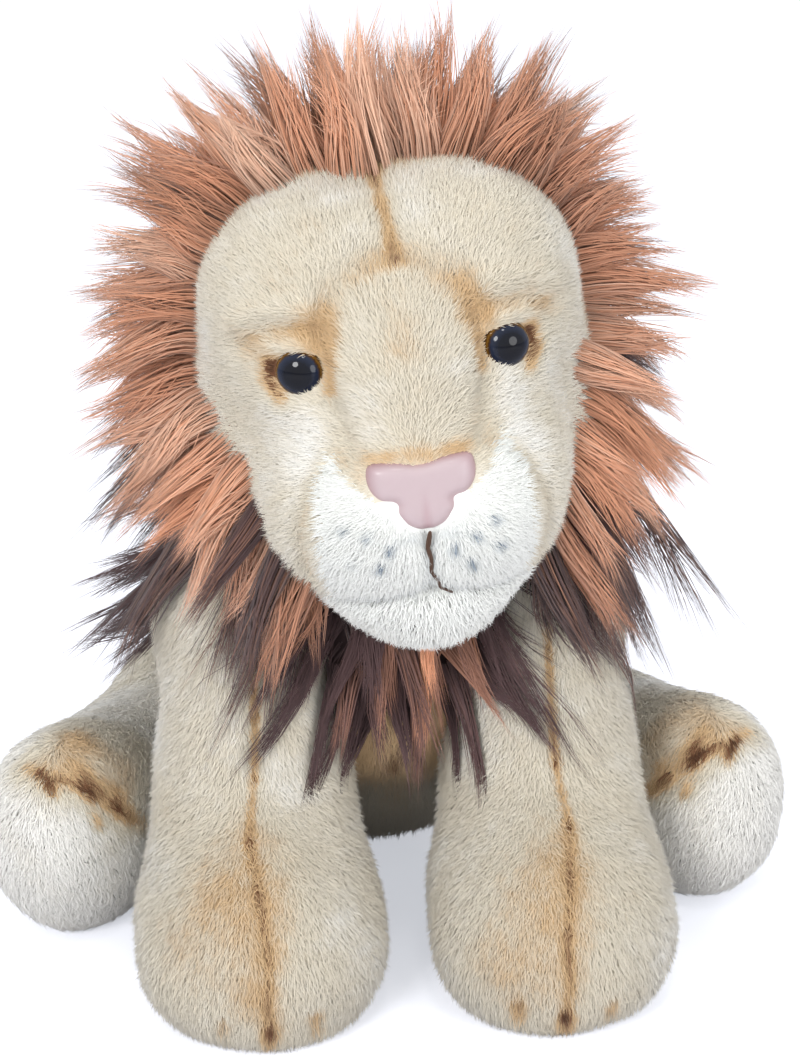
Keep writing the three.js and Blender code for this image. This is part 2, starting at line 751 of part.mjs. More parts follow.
// Eyes: a domed button on a shank, locked by a washer behind the cloth

function eyeFrame(side) {
  const inside = new THREE.Vector3(side * eyeShares.apart, 0, eyeShares.lift).multiply(headUnit);
  inside.setY(headForm.from.y);
  const surface = formPoint(headForm, inside, forward);
  const direction = formNormal(headForm, surface).add(forward).normalize();
  return { seat: surface.addScaledVector(direction, -eye.seatDepth), direction };
}

function eyeSolid({ seat, direction }) {
  const arcSteps = 5;
  const foot = [[0, -eye.shankLength], [eye.shankRadius, -eye.shankLength]];
  const profile = [...foot, [eye.shankRadius, 0], [eye.radius, 0]];
  for (let i = 1; i < arcSteps; i += 1) {
    const angle = (Math.PI * i) / (2 * arcSteps);
    profile.push([eye.radius * Math.cos(angle), eye.dome * Math.sin(angle)]);
  }
  profile.push([0, eye.dome]);
  return turnedSolid(profile, seat, direction, eye.segments);
}

const washerDrop = clothThickness - eye.seatDepth + washerGap;
const ringProfile = (inner, outer, low, high) => [
  [inner, low], [outer, low], [outer, high], [inner, high], [inner, low],
];

function washerSolid({ seat, direction }) {
  const high = -washerDrop;
  const profile = ringProfile(eye.shankRadius + fitGap, eye.washerRadius, high - eye.washerThickness, high);
  return turnedSolid(profile, seat, direction, eye.segments);
}

function plugSolid(radius, low, high, { seat, direction }) {
  return turnedSolid([[0, low], [radius, low], [radius, high], [0, high]], seat, direction, eye.segments);
}

function eyeRoom(frame) {
  const seatRoom = plugSolid(eye.radius + fitGap, -fitGap, eye.clearHeight, frame);
  const washerLow = -washerDrop - eye.washerThickness;
  const washerRoom = plugSolid(eye.washerRadius + fitGap, washerLow - fitGap, -washerDrop + fitGap, frame);
  const shankRoom = plugSolid(eye.shankRadius + fitGap, -eye.shankLength, eye.dome, frame);
  return seatRoom.add(washerRoom).add(shankRoom);
}

function eyePocket(frame) {
  const washerBottom = -washerDrop - eye.washerThickness - fitGap;
  const washerPocket = plugSolid(eye.washerRadius + fitGap, washerBottom, eye.clearHeight, frame);
  return washerPocket.add(plugSolid(eye.shankRadius + fitGap, -eye.shankLength - fitGap, eye.dome, frame));
}

const eyeFrames = { left: eyeFrame(-1), right: eyeFrame(1) };

// Nose: a moulded leather on a shank, set in the top of the muzzle

const noseShares = [
  [0.95, -0.03], [0.5, 0], [0, -0.04], [-0.5, 0], [-0.95, -0.03], [-1.05, -0.2],
  [-0.98, -0.42], [-0.66, -0.58], [-0.42, -0.74], [-0.34, -0.92], [0, -1],
  [0.34, -0.92], [0.42, -0.74], [0.66, -0.58], [0.98, -0.42], [1.05, -0.2],
];
const noseMiddle = nose.top - nose.height / 2;
const noseFront = formPoint(headForm, new THREE.Vector3(0, headForm.from.y, noseMiddle), forward);
const noseSink = nose.thickness / 2;

function noseBody(grow) {
  const bevel = nose.bevel;
  const width = nose.halfWidth - bevel;
  const height = nose.height - 2 * bevel;
  const outline = noseShares.map(([x, z]) => new THREE.Vector2(x * width, (z + 0.5) * height));
  const geometry = new THREE.ExtrudeGeometry(new THREE.Shape(outline), {
    depth: nose.thickness - 2 * bevel,
    steps: 1,
    bevelEnabled: true,
    bevelThickness: bevel + grow,
    bevelSize: bevel + grow,
    bevelSegments: 2,
  });
  geometry.rotateX(Math.PI / 2);
  geometry.translate(0, -bevel, 0);
  geometry.rotateX(noseTilt);
  geometry.translate(0, noseFront.y + noseSink, noseMiddle);
  return solidOf(geometry);
}

const noseDirection = forward.clone().applyAxisAngle(xAxis, noseTilt);
const noseSeat = new THREE.Vector3(0, noseFront.y + noseSink, noseMiddle);
const noseFrame = { seat: noseSeat, direction: noseDirection };
const noseShankLow = -nose.shankLength;
const noseShank = (grow) => plugSolid(nose.shankRadius + grow, noseShankLow - grow, nose.bevel, noseFrame);
const noseWasherHigh = -clothThickness - fitGap;
const noseWasherLow = noseWasherHigh - nose.washerThickness;
const noseWasher = turnedSolid(
  ringProfile(nose.shankRadius + fitGap, nose.washerRadius, noseWasherLow, noseWasherHigh),
  noseFrame.seat,
  noseFrame.direction,
  eye.segments,
);
const noseRoom = noseBody(fitGap).add(noseShank(fitGap));
const nosePocket = noseRoom.add(plugSolid(nose.washerRadius + fitGap, noseWasherLow - fitGap, 0, noseFrame));

// Sewn mouth line down the middle of the muzzle

const mouthShares = [0.06, 0.35, 0.7, 1];
const mouthTop = nose.top - nose.height;
const mouthBottom = muzzleShares[0][1] * head.height;
const mouthPoints = mouthShares.map((share) => {
  const lift = THREE.MathUtils.lerp(mouthTop, mouthBottom, share);
  const point = formPoint(headForm, new THREE.Vector3(0, headForm.from.y, lift), forward);
  return point.addScaledVector(formNormal(headForm, point), thread.radius / 2);
});
addPiece(headGroup, 'mouth_stitch', threadSolid(mouthPoints, thread.radius), brownThread);

// Face panels and what they hold

let face = headCover.intersect(halfSolid(yPlane(-head.hairlineBack - seamGap / 2), forward));
for (const frame of Object.values(eyeFrames)) {
  face = face.subtract(eyeRoom(frame));
}
const noseWasherRoom = plugSolid(nose.washerRadius + fitGap, noseWasherLow, noseWasherHigh, noseFrame);
face = face.subtract(noseRoom).subtract(noseWasherRoom);
face = face.subtract(threadSolid(mouthPoints, thread.radius + fitGap));
for (const [name, { outline, material, side }] of Object.entries(faceCuts)) {
  const piece = face.intersect(throughSolid(outline, -cutOverrun, 0));
  addPiece(headGroup, name, side ? sideOf(piece, 0, side) : piece, material);
  face = face.subtract(throughSolid(grownOutline(outline, seamGap), -cutOverrun, 0));
}
const browPoint = (offset) => new THREE.Vector3(0, 0, head.browLine + offset);
const forehead = face.intersect(halfSolid(browPoint(seamGap / 2), zAxis));
const cheeks = face.intersect(halfSolid(browPoint(-seamGap / 2), zAxis.clone().negate()));
for (const [name, side] of [['left', -1], ['right', 1]]) {
  addPiece(headGroup, `forehead_${name}_panel`, sideOf(forehead, 0, side), ivoryPlush);
  addPiece(headGroup, `cheek_${name}_panel`, sideOf(cheeks, 0, side), ivoryPlush);
}
const headBack = headCover.intersect(halfSolid(yPlane(-head.hairlineBack + seamGap / 2), yAxis));
addPiece(headGroup, 'head_back_panel', headBack, darkFur);

let headCore = fillOf(headForm).subtract(neckCut).subtract(nosePocket);
for (const [name, frame] of Object.entries(eyeFrames)) {
  addPiece(headGroup, `eye_${name}`, eyeSolid(frame), eyeGloss);
  addPiece(headGroup, `eye_${name}_washer`, washerSolid(frame), lockWhite);
  headCore = headCore.subtract(eyePocket(frame));
}
addPiece(headGroup, 'head_stuffing', headCore, fill);
addPiece(headGroup, 'nose', noseBody(0).add(noseShank(0)), noseVinyl);
addPiece(headGroup, 'nose_washer', noseWasher, lockWhite);

// Ears, which stand in the mane

const headRoom = formSolid(headForm, -fitGap);

function earBody(side, grow) {
  const geometry = new THREE.SphereGeometry(1, ear.segments, ear.bands);
  geometry.scale(ear.halfWidth + grow, ear.halfThickness + grow, ear.halfHeight + grow);
  geometry.rotateY(side * earLean);
  geometry.translate(side * ear.apart, ear.back, ear.lift);
  return solidOf(geometry);
}

// Mane pieces: a crown and two sides of rust pile round the face, and a dark back

// The whole mane: every other column of a ball's points stands out as a lock, and those between draw in
function maneBall() {
  const columns = 2 * mane.locks;
  const geometry = new THREE.SphereGeometry(1, columns, mane.bands);
  const points = geometry.attributes.position;
  for (let i = 0; i < points.count; i += 1) {
    const [x, y, z] = [points.getX(i), points.getY(i), points.getZ(i)];
    const outward = (i % (columns + 1)) % 2 === 0 ? 1 : -1;
    const stretch = 1 + outward * lockShare * (x * x + z * z);
    points.setXYZ(i, x * stretch, y, z * stretch);
  }
  geometry.scale(mane.halfWidth, mane.halfDepth, mane.halfHeight);
  geometry.translate(0, mane.back, mane.lift);
  return solidOf(geometry);
}

const maneWhole = maneBall()
  .subtract(headRoom)
  .subtract(neckCut)
  .subtract(earBody(-1, fitGap))
  .subtract(earBody(1, fitGap))
  .intersect(halfSolid(yPlane(-head.hairlineBack), yAxis));
const maneFront = maneWhole.intersect(halfSolid(yPlane(mane.rustDepth - seamGap / 2), forward));
const maneRear = maneWhole.intersect(halfSolid(yPlane(mane.rustDepth + seamGap / 2), yAxis));
const crownOutline = [
  [0, 0],
  [cutOverrun * Math.sin(crownHalfAngle), cutOverrun * Math.cos(crownHalfAngle)],
  [-cutOverrun * Math.sin(crownHalfAngle), cutOverrun * Math.cos(crownHalfAngle)],
];
const crownBlock = throughSolid(crownOutline, -cutOverrun, cutOverrun);
const crownRoom = throughSolid(grownOutline(crownOutline, seamGap), -cutOverrun, cutOverrun);
addPiece(headGroup, 'mane_crown', maneFront.intersect(crownBlock), rustFur);
const aboveSideHem = halfSolid(new THREE.Vector3(0, 0, -mane.sideHem), zAxis);
const maneSides = maneFront.subtract(crownRoom).intersect(aboveSideHem);
for (const [name, side] of [['left', -1], ['right', 1]]) {
  addPiece(headGroup, `mane_${name}`, sideOf(maneSides, 0, side), rustFur);
  addPiece(headGroup, `ear_${name}`, earBody(side, 0).subtract(headRoom), rustFur);
}
const maneHem = halfSolid(new THREE.Vector3(0, 0, -mane.backHem), zAxis);
addPiece(headGroup, 'mane_back', maneRear.intersect(maneHem), darkFur);

export default lion;
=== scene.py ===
"""A sitting plush lion: sewn covers with real pile, a long mane in locks, glossy eyes and a soft nose."""

import json
import math

import bpy
import numpy as np
from bpy.props import FloatProperty, FloatVectorProperty, IntProperty, PointerProperty
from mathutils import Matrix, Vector


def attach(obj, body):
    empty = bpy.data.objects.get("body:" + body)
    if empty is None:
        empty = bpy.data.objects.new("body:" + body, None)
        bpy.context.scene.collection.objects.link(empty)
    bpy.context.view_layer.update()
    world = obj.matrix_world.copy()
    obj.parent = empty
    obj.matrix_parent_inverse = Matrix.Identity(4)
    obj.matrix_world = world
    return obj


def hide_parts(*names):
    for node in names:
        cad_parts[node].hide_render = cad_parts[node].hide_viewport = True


bl_info = {
    "name": "Plush Lion",
    "version": (1, 0, 0),
    "blender": (4, 5, 0),
    "location": "3D View > Sidebar > Lion",
    "description": "Dresses the packed lion with plush, mane, eyes and nose",
    "category": "Object",
}

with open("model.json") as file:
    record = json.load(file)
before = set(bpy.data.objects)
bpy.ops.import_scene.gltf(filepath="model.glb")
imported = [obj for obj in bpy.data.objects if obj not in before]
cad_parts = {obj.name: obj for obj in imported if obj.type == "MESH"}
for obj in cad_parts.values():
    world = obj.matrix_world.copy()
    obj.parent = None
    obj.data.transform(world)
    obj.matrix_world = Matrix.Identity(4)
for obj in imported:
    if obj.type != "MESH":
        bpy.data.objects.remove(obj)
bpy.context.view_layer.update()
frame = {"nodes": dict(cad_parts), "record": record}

# The lion's shapes are given in millimetres, and its meshes are made in metres. The stage is in metres
METRE = 0.001
PILE_MAP = "OFBake"
RING_MAP = "rings"
FLOOR_ROOM = 0.3
SOLE = 0.05
SHORT_PILE = 1.2


def less():
    """The share of the full detail that is built, which is all of it."""
    return 1.0


def linear(code):
    """The linear colour of a six-letter sRGB code."""
    parts = [int(code[i : i + 2], 16) / 255 for i in (0, 2, 4)]
    return tuple(c / 12.92 if c <= 0.04045 else ((c + 0.055) / 1.055) ** 2.4 for c in parts)


# Settings


def length(name, description, millimetres):
    size = millimetres * METRE
    return FloatProperty(name=name, description=description, default=size, min=0, unit="LENGTH")


def colour(name, description, code):
    return FloatVectorProperty(
        name=name, description=description, default=linear(code), size=3, min=0, max=1, subtype="COLOR"
    )


def amount(name, description, value, least=0):
    return FloatProperty(name=name, description=description, default=value, min=least)


class LionPile(bpy.types.PropertyGroup):
    """Lengths and density of the short pile."""

    face: length("Face", "Pile on the forehead, cheeks and nose bridge", 4.6)
    muzzle: length("Muzzle", "White pile on the muzzle and chin", 4.8)
    legs: length("Legs", "Pile on the legs and paws", 5.0)
    feet: length("Hind feet", "Fluffier pile on the hind feet", 5.2)
    body: length("Body", "Pile on the belly and back", 6.0)
    width: length("Tuft width", "Width of one tuft of fibres at its root", 0.46)
    density: amount("Density", "Tufts on a square millimetre", 3.4, least=0.05)


class LionMane(bpy.types.PropertyGroup):
    """Lengths of the long pile."""

    crown: length("Crown", "Locks above the forehead", 48)
    sides: length("Sides", "Locks beside and below the cheeks", 41)
    back: length("Back", "Dark locks behind the head", 50)
    bib: length("Bib", "Dark locks on the chest", 42)
    width: length("Strand width", "Width of one strand at its root", 0.5)
    strands: IntProperty(name="Strands", description="Strands that make up one lock", default=120, min=4)


class LionColours(bpy.types.PropertyGroup):
    """Dyes of the cloth, thread and moulded parts."""

    ivory: colour("Ivory", "Palest plush", "F8F6F0")
    cream: colour("Cream", "Main plush", "E3DAC7")
    # Tan and brown are airbrushed on the toy, and the tone marks also use them as painted shade in creases,
    # at the paws' middles and on the belly
    tan: colour("Tan", "Airbrushed tan", "D8B78C")
    brown: colour("Brown", "Airbrushed brown", "7A5238")
    white: colour("White", "Muzzle and chin", "FBFCF7")
    slate: colour("Slate", "Whisker spots", "6F8296")
    rust: colour("Rust", "Mane", "DC9D7B")
    ginger: colour("Ginger", "Mane tips", "F3D2BA")
    umber: colour("Umber", "Mane roots and back of the mane", "584343")
    nose: colour("Nose", "Moulded nose", "B7A5A8")
    iris: colour("Iris", "Ring of the eyes", "74501F")
    fibre: colour("Fibre", "Stuffing", "F4F1EA")
    bag: colour("Bag", "Cloth of the pellet bag", "B9B4A8")
    washer: colour("Washer", "Lock washers", "E8E8E4")


class LionStage(bpy.types.PropertyGroup):
    """Floor, lamps and camera."""

    floor: colour("Floor", "Floor and backdrop", "DEDEE4")
    key: amount("Key lamp", "Power of the key lamp in watts", 8.0)
    fill: amount("Fill lamp", "Power of the fill lamp in watts", 5.0)
    ambient: amount("Ambient", "Strength of the even light", 0.76)
    lens: amount("Lens", "Focal length in millimetres", 93.82, least=1)


# Stuffed forms


def unit_rows(v):
    return v / np.maximum(np.linalg.norm(v, axis=-1, keepdims=True), 1e-12)


def turn_y(degrees):
    """A turn about the Y axis."""
    c, s = math.cos(math.radians(degrees)), math.sin(math.radians(degrees))
    return np.array([[c, 0, s], [0, 1, 0], [-s, 0, c]])


class Form:
    """Ellipsoids that melt together. Lobes are shares of the unit sizes, with a tilt about X in degrees."""

    COARSE_STEPS, HALVINGS = 70, 16
    NORMAL_STEP = 0.05

    def __init__(self, lobes, unit, origin, blend, line, extent):
        unit = np.array(unit, float)
        self.at = np.array([lobe[0] for lobe in lobes]) * unit + origin
        self.half = np.array([lobe[1] for lobe in lobes]) * np.abs(unit)
        self.tilt = np.radians([lobe[2] if len(lobe) > 2 else 0 for lobe in lobes])
        self.blend = blend
        self.start, self.end = line(self.at, unit)
        self.extent = extent

    def distance(self, points):
        near = np.empty((len(self.at), len(points)))
        for i, (at, half, tilt) in enumerate(zip(self.at, self.half, self.tilt)):
            q = points - at
            if tilt:
                y, z = q[:, 1].copy(), q[:, 2].copy()
                q[:, 1] = y * math.cos(tilt) + z * math.sin(tilt)
                q[:, 2] = z * math.cos(tilt) - y * math.sin(tilt)
            level = np.sqrt(((q / half) ** 2).sum(1))
            slope = np.sqrt(((q / half**2) ** 2).sum(1))
            inside = level * (level - 1) / np.maximum(slope, 1e-9)
            near[i] = np.where(slope > 1e-9, inside, -half.min())
        low = near.min(0)
        return low - self.blend * np.log(np.exp((low - near) / self.blend).sum(0))

    def normal(self, points):
        steps = np.eye(3) * self.NORMAL_STEP
        return unit_rows(np.stack([self.distance(points + s) - self.distance(points - s) for s in steps], 1))

    def surface(self, origin, direction):
        """The outermost points along rays."""
        outside = np.full(len(direction), self.extent, float)
        inside = np.zeros(len(direction))
        open_rays = np.ones(len(direction), bool)
        for i in range(self.COARSE_STEPS, -1, -1):
            reach = self.extent * i / self.COARSE_STEPS
            rays = np.flatnonzero(open_rays)
            if not len(rays):
                break
            hit = self.distance(origin[rays] + direction[rays] * reach) < 0
            inside[rays[hit]] = reach
            open_rays[rays[hit]] = False
            outside[rays[~hit]] = reach
        for _ in range(self.HALVINGS):
            middle = (inside + outside) / 2
            hit = self.distance(origin + direction * middle[:, None]) < 0
            inside = np.where(hit, middle, inside)
            outside = np.where(hit, outside, middle)
        return origin + direction * inside[:, None]

    def skin(self, rings, sides, cap_share):
        """Surface points in rings round the inner line, with a pole at each end, and their faces."""
        line = self.end - self.start
        along = line / np.linalg.norm(line)
        across = unit_rows((np.array([1.0, 0, 0]) - along * along[0])[None])[0]
        up = np.cross(along, across)
        caps = max(2, round(rings * cap_share))
        i = np.arange(1, rings)
        lower = np.minimum(i, caps) / caps
        upper = np.maximum(i - (rings - caps), 0) / caps
        share = np.clip((i - caps) / (rings - 2 * caps), 0, 1)
        polar = np.repeat((math.pi / 2) * (2 - lower - upper), sides)
        turn = np.tile(2 * math.pi * np.arange(sides) / sides, rings - 1)
        origin = np.repeat(self.start + line * share[:, None], sides, 0)
        way = (
            along * np.cos(polar)[:, None]
            + across * (np.sin(polar) * np.cos(turn))[:, None]
            + up * (np.sin(polar) * np.sin(turn))[:, None]
        )
        points = self.surface(np.vstack([self.start, origin, self.end]), np.vstack([-along, way, along]))
        return points, grid_faces(rings - 1, sides)


def grid_faces(rings, sides):
    """Quads and triangles of a closed grid: a pole, rings of points, and a pole."""
    j = np.arange(sides)
    after = (j + 1) % sides
    ring = 1 + np.arange(rings - 1)[:, None] * sides
    quads = np.stack([ring + j, ring + after, ring + sides + after, ring + sides + j], -1).reshape(-1, 4)
    last = 1 + rings * sides
    first = np.stack([np.zeros(sides, int), 1 + after, 1 + j], 1)
    end = 1 + (rings - 1) * sides
    final = np.stack([np.full(sides, last), end + j, end + after], 1)
    return quads, np.vstack([first, final])


def ends(first, last):
    """A form's inner line, from one lobe's middle to another's."""
    return lambda at, unit: (at[first].copy(), at[last].copy())


def head_line(at, unit):
    """The head's inner line, from behind the muzzle to under the crown."""
    return np.array([0, -0.32, -0.32]) * unit, np.array([0, -0.05, 0.26]) * unit


HEAD_AT = np.array([0.0, -87.998, 197.995])
ROLL = turn_y(-6)
NECK_DOWN = np.array([0, math.sin(math.radians(24.6)), -math.cos(math.radians(24.6))])
NECK_RADIUS, COLLAR_LOW, COLLAR_HIGH, SOCKET_RADIUS = 50.0, 50.7, 53.3, 54.0
FACE_BACK, MANE_SPLIT = -10.0, 22.0
LEG_MIDDLE = 46


def from_head(points):
    return points @ ROLL.T + HEAD_AT


def turn_head(vectors):
    return vectors @ ROLL.T


def mirrored(lobes):
    """Each lobe, and after it the same on the other side."""
    return [([sign * at[0], *at[1:]], *rest) for at, *rest in lobes for sign in (1, -1)]


ORIGIN = np.zeros(3)
HEAD = Form(
    [
        ([0, 0.05, 0.13], [0.98, 0.63, 0.87]),
        *mirrored([([-0.4, -0.29, 0.52], [0.51, 0.37, 0.45]), ([-0.54, -0.21, -0.23], [0.44, 0.39, 0.58])]),
        ([0, -0.6, 0.28], [0.37, 0.25, 0.55], -38),
        *mirrored([([-0.36, -0.5, 0.2], [0.33, 0.2, 0.33]), ([-0.25, -0.76, -0.4], [0.3, 0.24, 0.32])]),
        ([0, -0.6, -0.29], [0.42, 0.32, 0.39]),
        ([0, -0.32, -0.55], [0.6, 0.42, 0.48]),
        *mirrored([([-0.46, -0.54, -0.38], [0.33, 0.29, 0.4])]),
        ([0, -0.58, -0.81], [0.39, 0.28, 0.33]),
    ],
    unit=[57, 76, 62], origin=ORIGIN, blend=6, line=head_line, extent=138,
)
TORSO = Form(
    [
        ([0, 0.037, 0.218], [1, 0.463, 0.282]),
        ([0, -0.26, 0.46], [0.95, 0.445, 0.36]),
        ([0, -0.61, 0.66], [0.845, 0.39, 0.33]),
        ([0, -0.65, 0.808], [0.72, 0.333, 0.212]),
    ],
    unit=[58, 108, 156], origin=ORIGIN, blend=9, line=ends(0, 3), extent=156,
)
FORELEG_LOBES = [
    ([0, 0, 0.79], [0.76, 0.335, 0.205]),
    ([0, -0.2, 0.5], [0.76, 0.31, 0.31]),
    ([0, -0.5, 0.21], [1, 0.476, 0.24]),
    ([0, -0.7, 0.14], [0.93, 0.29, 0.17]),
]
HINDLEG_LOBES = [
    ([0, 0, 0.48], [0.44, 0.29, 0.445]),
    ([0.42, -0.43, 0.4], [0.38, 0.32, 0.42]),
    ([0.67, -0.75, 0.48], [0.38, 0.25, 0.5]),
]
SIDES = {"left": -1, "right": 1}
FORELEG = {
    side: Form(FORELEG_LOBES, [35.5, 84, 142], np.array([sign * LEG_MIDDLE, -86, 0]), 5, ends(2, 0), 142)
    for side, sign in SIDES.items()
}
HINDLEG = {
    side: Form(HINDLEG_LOBES, [sign * 69, 106, 71], np.array([sign * 60, 2, 0]), 6, ends(0, 2), 106)
    for side, sign in SIDES.items()
}

# Numbers over a surface


def ripple(points, size, seed):
    """Smooth noise from -1 to 1, in waves about this size."""
    rng = np.random.default_rng(seed)
    total = np.zeros(len(points))
    for _ in range(7):
        way = unit_rows(rng.normal(size=(1, 3)))[0] * (2 * math.pi / size) * rng.uniform(0.6, 1.5)
        total += np.sin(points @ way + rng.uniform(0, 2 * math.pi))
    return total / 3.2


def ramp(values, start, end):
    """0 at the start, 1 at the end, and even between."""
    return np.clip((values - start) / (end - start), 0, 1)


def row(many, x, y, z):
    """Vectors from three numbers or columns."""
    return np.stack([np.broadcast_to(v, many).astype(float) for v in (x, y, z)], 1)


def near_path(points, path):
    """Distance to the nearest of a path's straight stretches."""
    path = np.array(path, float)
    if len(path) == 1:
        return np.linalg.norm(points - path[0], axis=1)
    best = np.full(len(points), 1e9)
    for a, b in zip(path[:-1], path[1:]):
        step = b - a
        share = np.clip(((points - a) @ step) / (step @ step), 0, 1)
        best = np.minimum(best, np.linalg.norm(points - a - share[:, None] * step, axis=1))
    return best


def soft_spot(points, path, radius):
    return np.exp(-((near_path(points, path) / radius) ** 2))


def sign_x(path, sign):
    """A path of the right side, for this side."""
    return [(sign * x, y, z) for x, y, z in path]


def on_side(marks, sign):
    return [(sign_x(path, sign), *rest) for path, *rest in marks]


def both(marks):
    """The same marks on the left and on the right."""
    return marks + on_side(marks, -1)


def summed(points, marks):
    """The sum of marks: a path, a radius and a strength each."""
    total = np.zeros(len(points))
    for path, radius, depth in marks:
        total += depth * soft_spot(points, path, radius)
    return total


def in_outline(x, z, outline):
    """Which points lie in a closed outline."""
    inside = np.zeros(len(x), bool)
    for (x0, z0), (x1, z1) in zip(outline, outline[1:] + outline[:1]):
        if z0 != z1:
            inside ^= ((z0 > z) != (z1 > z)) & (x < (x1 - x0) * (z - z0) / (z1 - z0) + x0)
    return inside


def triangles(quads, tris):
    return np.vstack([tris, quads[:, [0, 1, 2]], quads[:, [0, 2, 3]]])


def point_normals(points, quads, tris):
    total = np.zeros_like(points)
    for faces, corners in ((quads, (0, 1, 3)), (quads, (1, 2, 3)), (tris, (0, 1, 2))):
        if len(faces):
            a, b, c = (points[faces[:, k]] for k in corners)
            cross = np.cross(b - a, c - a)
            for k in corners:
                np.add.at(total, faces[:, k], cross)
    return unit_rows(total)


def part_of(count, quads, tris, keep_quads, keep_tris):
    """The points that the kept faces use, and those faces, counted anew."""
    quads, tris = quads[keep_quads], tris[keep_tris]
    used = np.unique(np.concatenate([quads.ravel(), tris.ravel()]))
    place = np.full(count, -1)
    place[used] = np.arange(len(used))
    return used, place[quads].reshape(-1, 4), place[tris].reshape(-1, 3)


def outward(points, quads, tris):
    """The faces, turned so that the volume they close is positive."""
    three = triangles(quads, tris)
    a, b, c = (points[three[:, k]] for k in range(3))
    volume = (np.cross(a, b) * c).sum()
    return (quads, tris) if volume > 0 else (quads[:, ::-1], tris[:, ::-1])


def turned_about(points, centre, axis, degrees):
    axis = np.array(axis, float)
    angle = math.radians(degrees)
    q = points - centre
    spun = q * math.cos(angle) + np.cross(axis, q) * math.sin(angle)
    return spun + np.outer(q @ axis, axis) * (1 - math.cos(angle)) + centre


def smooth_curve(four, each):
    """Points of a smooth curve from the second of four points to the third."""
    a, b, c, d = four
    t = np.arange(each)[:, None] / each
    return 0.5 * (2 * b + (c - a) * t + (2 * a - 5 * b + 4 * c - d) * t**2 + (3 * b - a - 3 * c + d) * t**3)


# Strands


class Fibres:
    """Strands that are gathered for one piece: their points, widths, shading normals and tones."""

    SPLIT_TONE = 0.004
    TAPER = 0.7

    def __init__(self):
        self.points, self.quads, self.tris, self.normals, self.places = [], [], [], [], []
        self.count = 0

    def skin(self, points, quads, tris, normals, tone, rng):
        # The skin takes the root end of the map, so it gets the full painted root shade of the Pile Shade
        # group
        along = rng.uniform(0, 0.06, len(points))
        self.keep(points, quads, tris, normals, np.stack([np.clip(tone, 0.01, 0.99), along], 1))

    def strands(self, path, width, soft, tone, rng, softness=0.6):
        """Three-sided tapered strands along paths of (strands, steps, 3) points. soft are shading normals."""
        n, steps, _ = path.shape
        way = np.empty_like(path)
        way[:, :-1] = path[:, 1:] - path[:, :-1]
        way[:, -1] = way[:, -2]
        way = unit_rows(way)
        guide = rng.normal(size=(n, 1, 3))
        side = unit_rows(guide - (guide * way).sum(-1, keepdims=True) * way)
        other = np.cross(way, side)
        share = np.linspace(0, 1, steps)
        radius = width[:, None] / 2 * (1 - share[None]) ** self.TAPER
        turn = (np.arange(3) * 2 * math.pi / 3)[None, None, :, None]
        spoke = side[:, :-1, None] * np.cos(turn) + other[:, :-1, None] * np.sin(turn)
        ring = path[:, :-1, None] + spoke * radius[:, :-1, None, None]
        points = np.concatenate([ring.reshape(n, -1, 3), path[:, -1:]], 1)
        shade = spoke * (1 - softness) + soft[:, None, None] * softness
        normals = np.concatenate([shade.reshape(n, -1, 3), soft[:, None]], 1)
        across = tone[:, None] + np.tile([-self.SPLIT_TONE, 0, self.SPLIT_TONE], steps - 1)[None]
        across = np.concatenate([across, tone[:, None]], 1)
        along = np.append(np.repeat(share[:-1], 3), 1.0) * 0.9 + 0.07
        places = np.stack([np.clip(across, 0.005, 0.995), np.broadcast_to(along, across.shape)], -1)
        each = 3 * (steps - 1) + 1
        base = np.arange(n)[:, None, None] * each
        k = np.arange(3)
        after = (k + 1) % 3
        level = np.arange(steps - 2)[:, None] * 3
        quads = np.stack([level + k, level + after, level + 3 + after, level + 3 + k], -1).reshape(1, -1, 4)
        top = 3 * (steps - 2)
        tris = np.stack([top + k, top + after, np.full(3, each - 1)], -1)[None]
        self.keep(points, quads + base, tris + base, normals, places)

    def keep(self, points, quads, tris, normals, places):
        self.points.append(points.reshape(-1, 3))
        self.quads.append(quads.reshape(-1, 4) + self.count)
        self.tris.append(tris.reshape(-1, 3) + self.count)
        self.normals.append(normals.reshape(-1, 3))
        self.places.append(places.reshape(-1, 2))
        self.count += len(self.points[-1])

    def mesh(self, name):
        """One mesh of all that was gathered, kept above the floor."""
        points, quads, tris = np.vstack(self.points), np.vstack(self.quads), np.vstack(self.tris)
        points[:, 2] = np.maximum(points[:, 2], 0)
        return make_mesh(name, points, quads, tris, np.vstack(self.places), np.vstack(self.normals))


def make_mesh(name, points, quads, tris, places=None, normals=None, title=PILE_MAP):
    """A mesh from arrays in millimetres, with a map where places are given."""
    mesh = bpy.data.meshes.new(name)
    corners = np.concatenate([quads.ravel(), tris.ravel()]).astype(np.int32)
    sizes = np.concatenate([np.full(len(quads), 4), np.full(len(tris), 3)]).astype(np.int32)
    starts = np.concatenate([[0], np.cumsum(sizes)[:-1]]).astype(np.int32)
    mesh.vertices.add(len(points))
    mesh.vertices.foreach_set("co", (points * METRE).astype(np.float32).ravel())
    mesh.loops.add(len(corners))
    mesh.loops.foreach_set("vertex_index", corners)
    mesh.polygons.add(len(sizes))
    mesh.polygons.foreach_set("loop_start", starts)
    mesh.update(calc_edges=True)
    mesh.shade_smooth()
    if places is not None:
        layer = mesh.uv_layers.new(name=title)
        layer.uv.foreach_set("vector", places[corners].astype(np.float32).ravel())
    if normals is not None:
        mesh.normals_split_custom_set_from_vertices(unit_rows(normals).astype(np.float32))
    return mesh


def settle(piece, body, node, slot, material):
    """Gives a piece its material and its body, in place of its solid."""
    piece.data.materials.clear()
    piece.data.materials.append(material)
    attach(piece, body)
    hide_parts(node)


def place_piece(mesh, body, node, slot, material):
    """Puts a mesh in the scene as a piece that has its name."""
    piece = bpy.data.objects.new(mesh.name, mesh)
    bpy.context.scene.collection.objects.link(piece)
    settle(piece, body, node, slot, material)


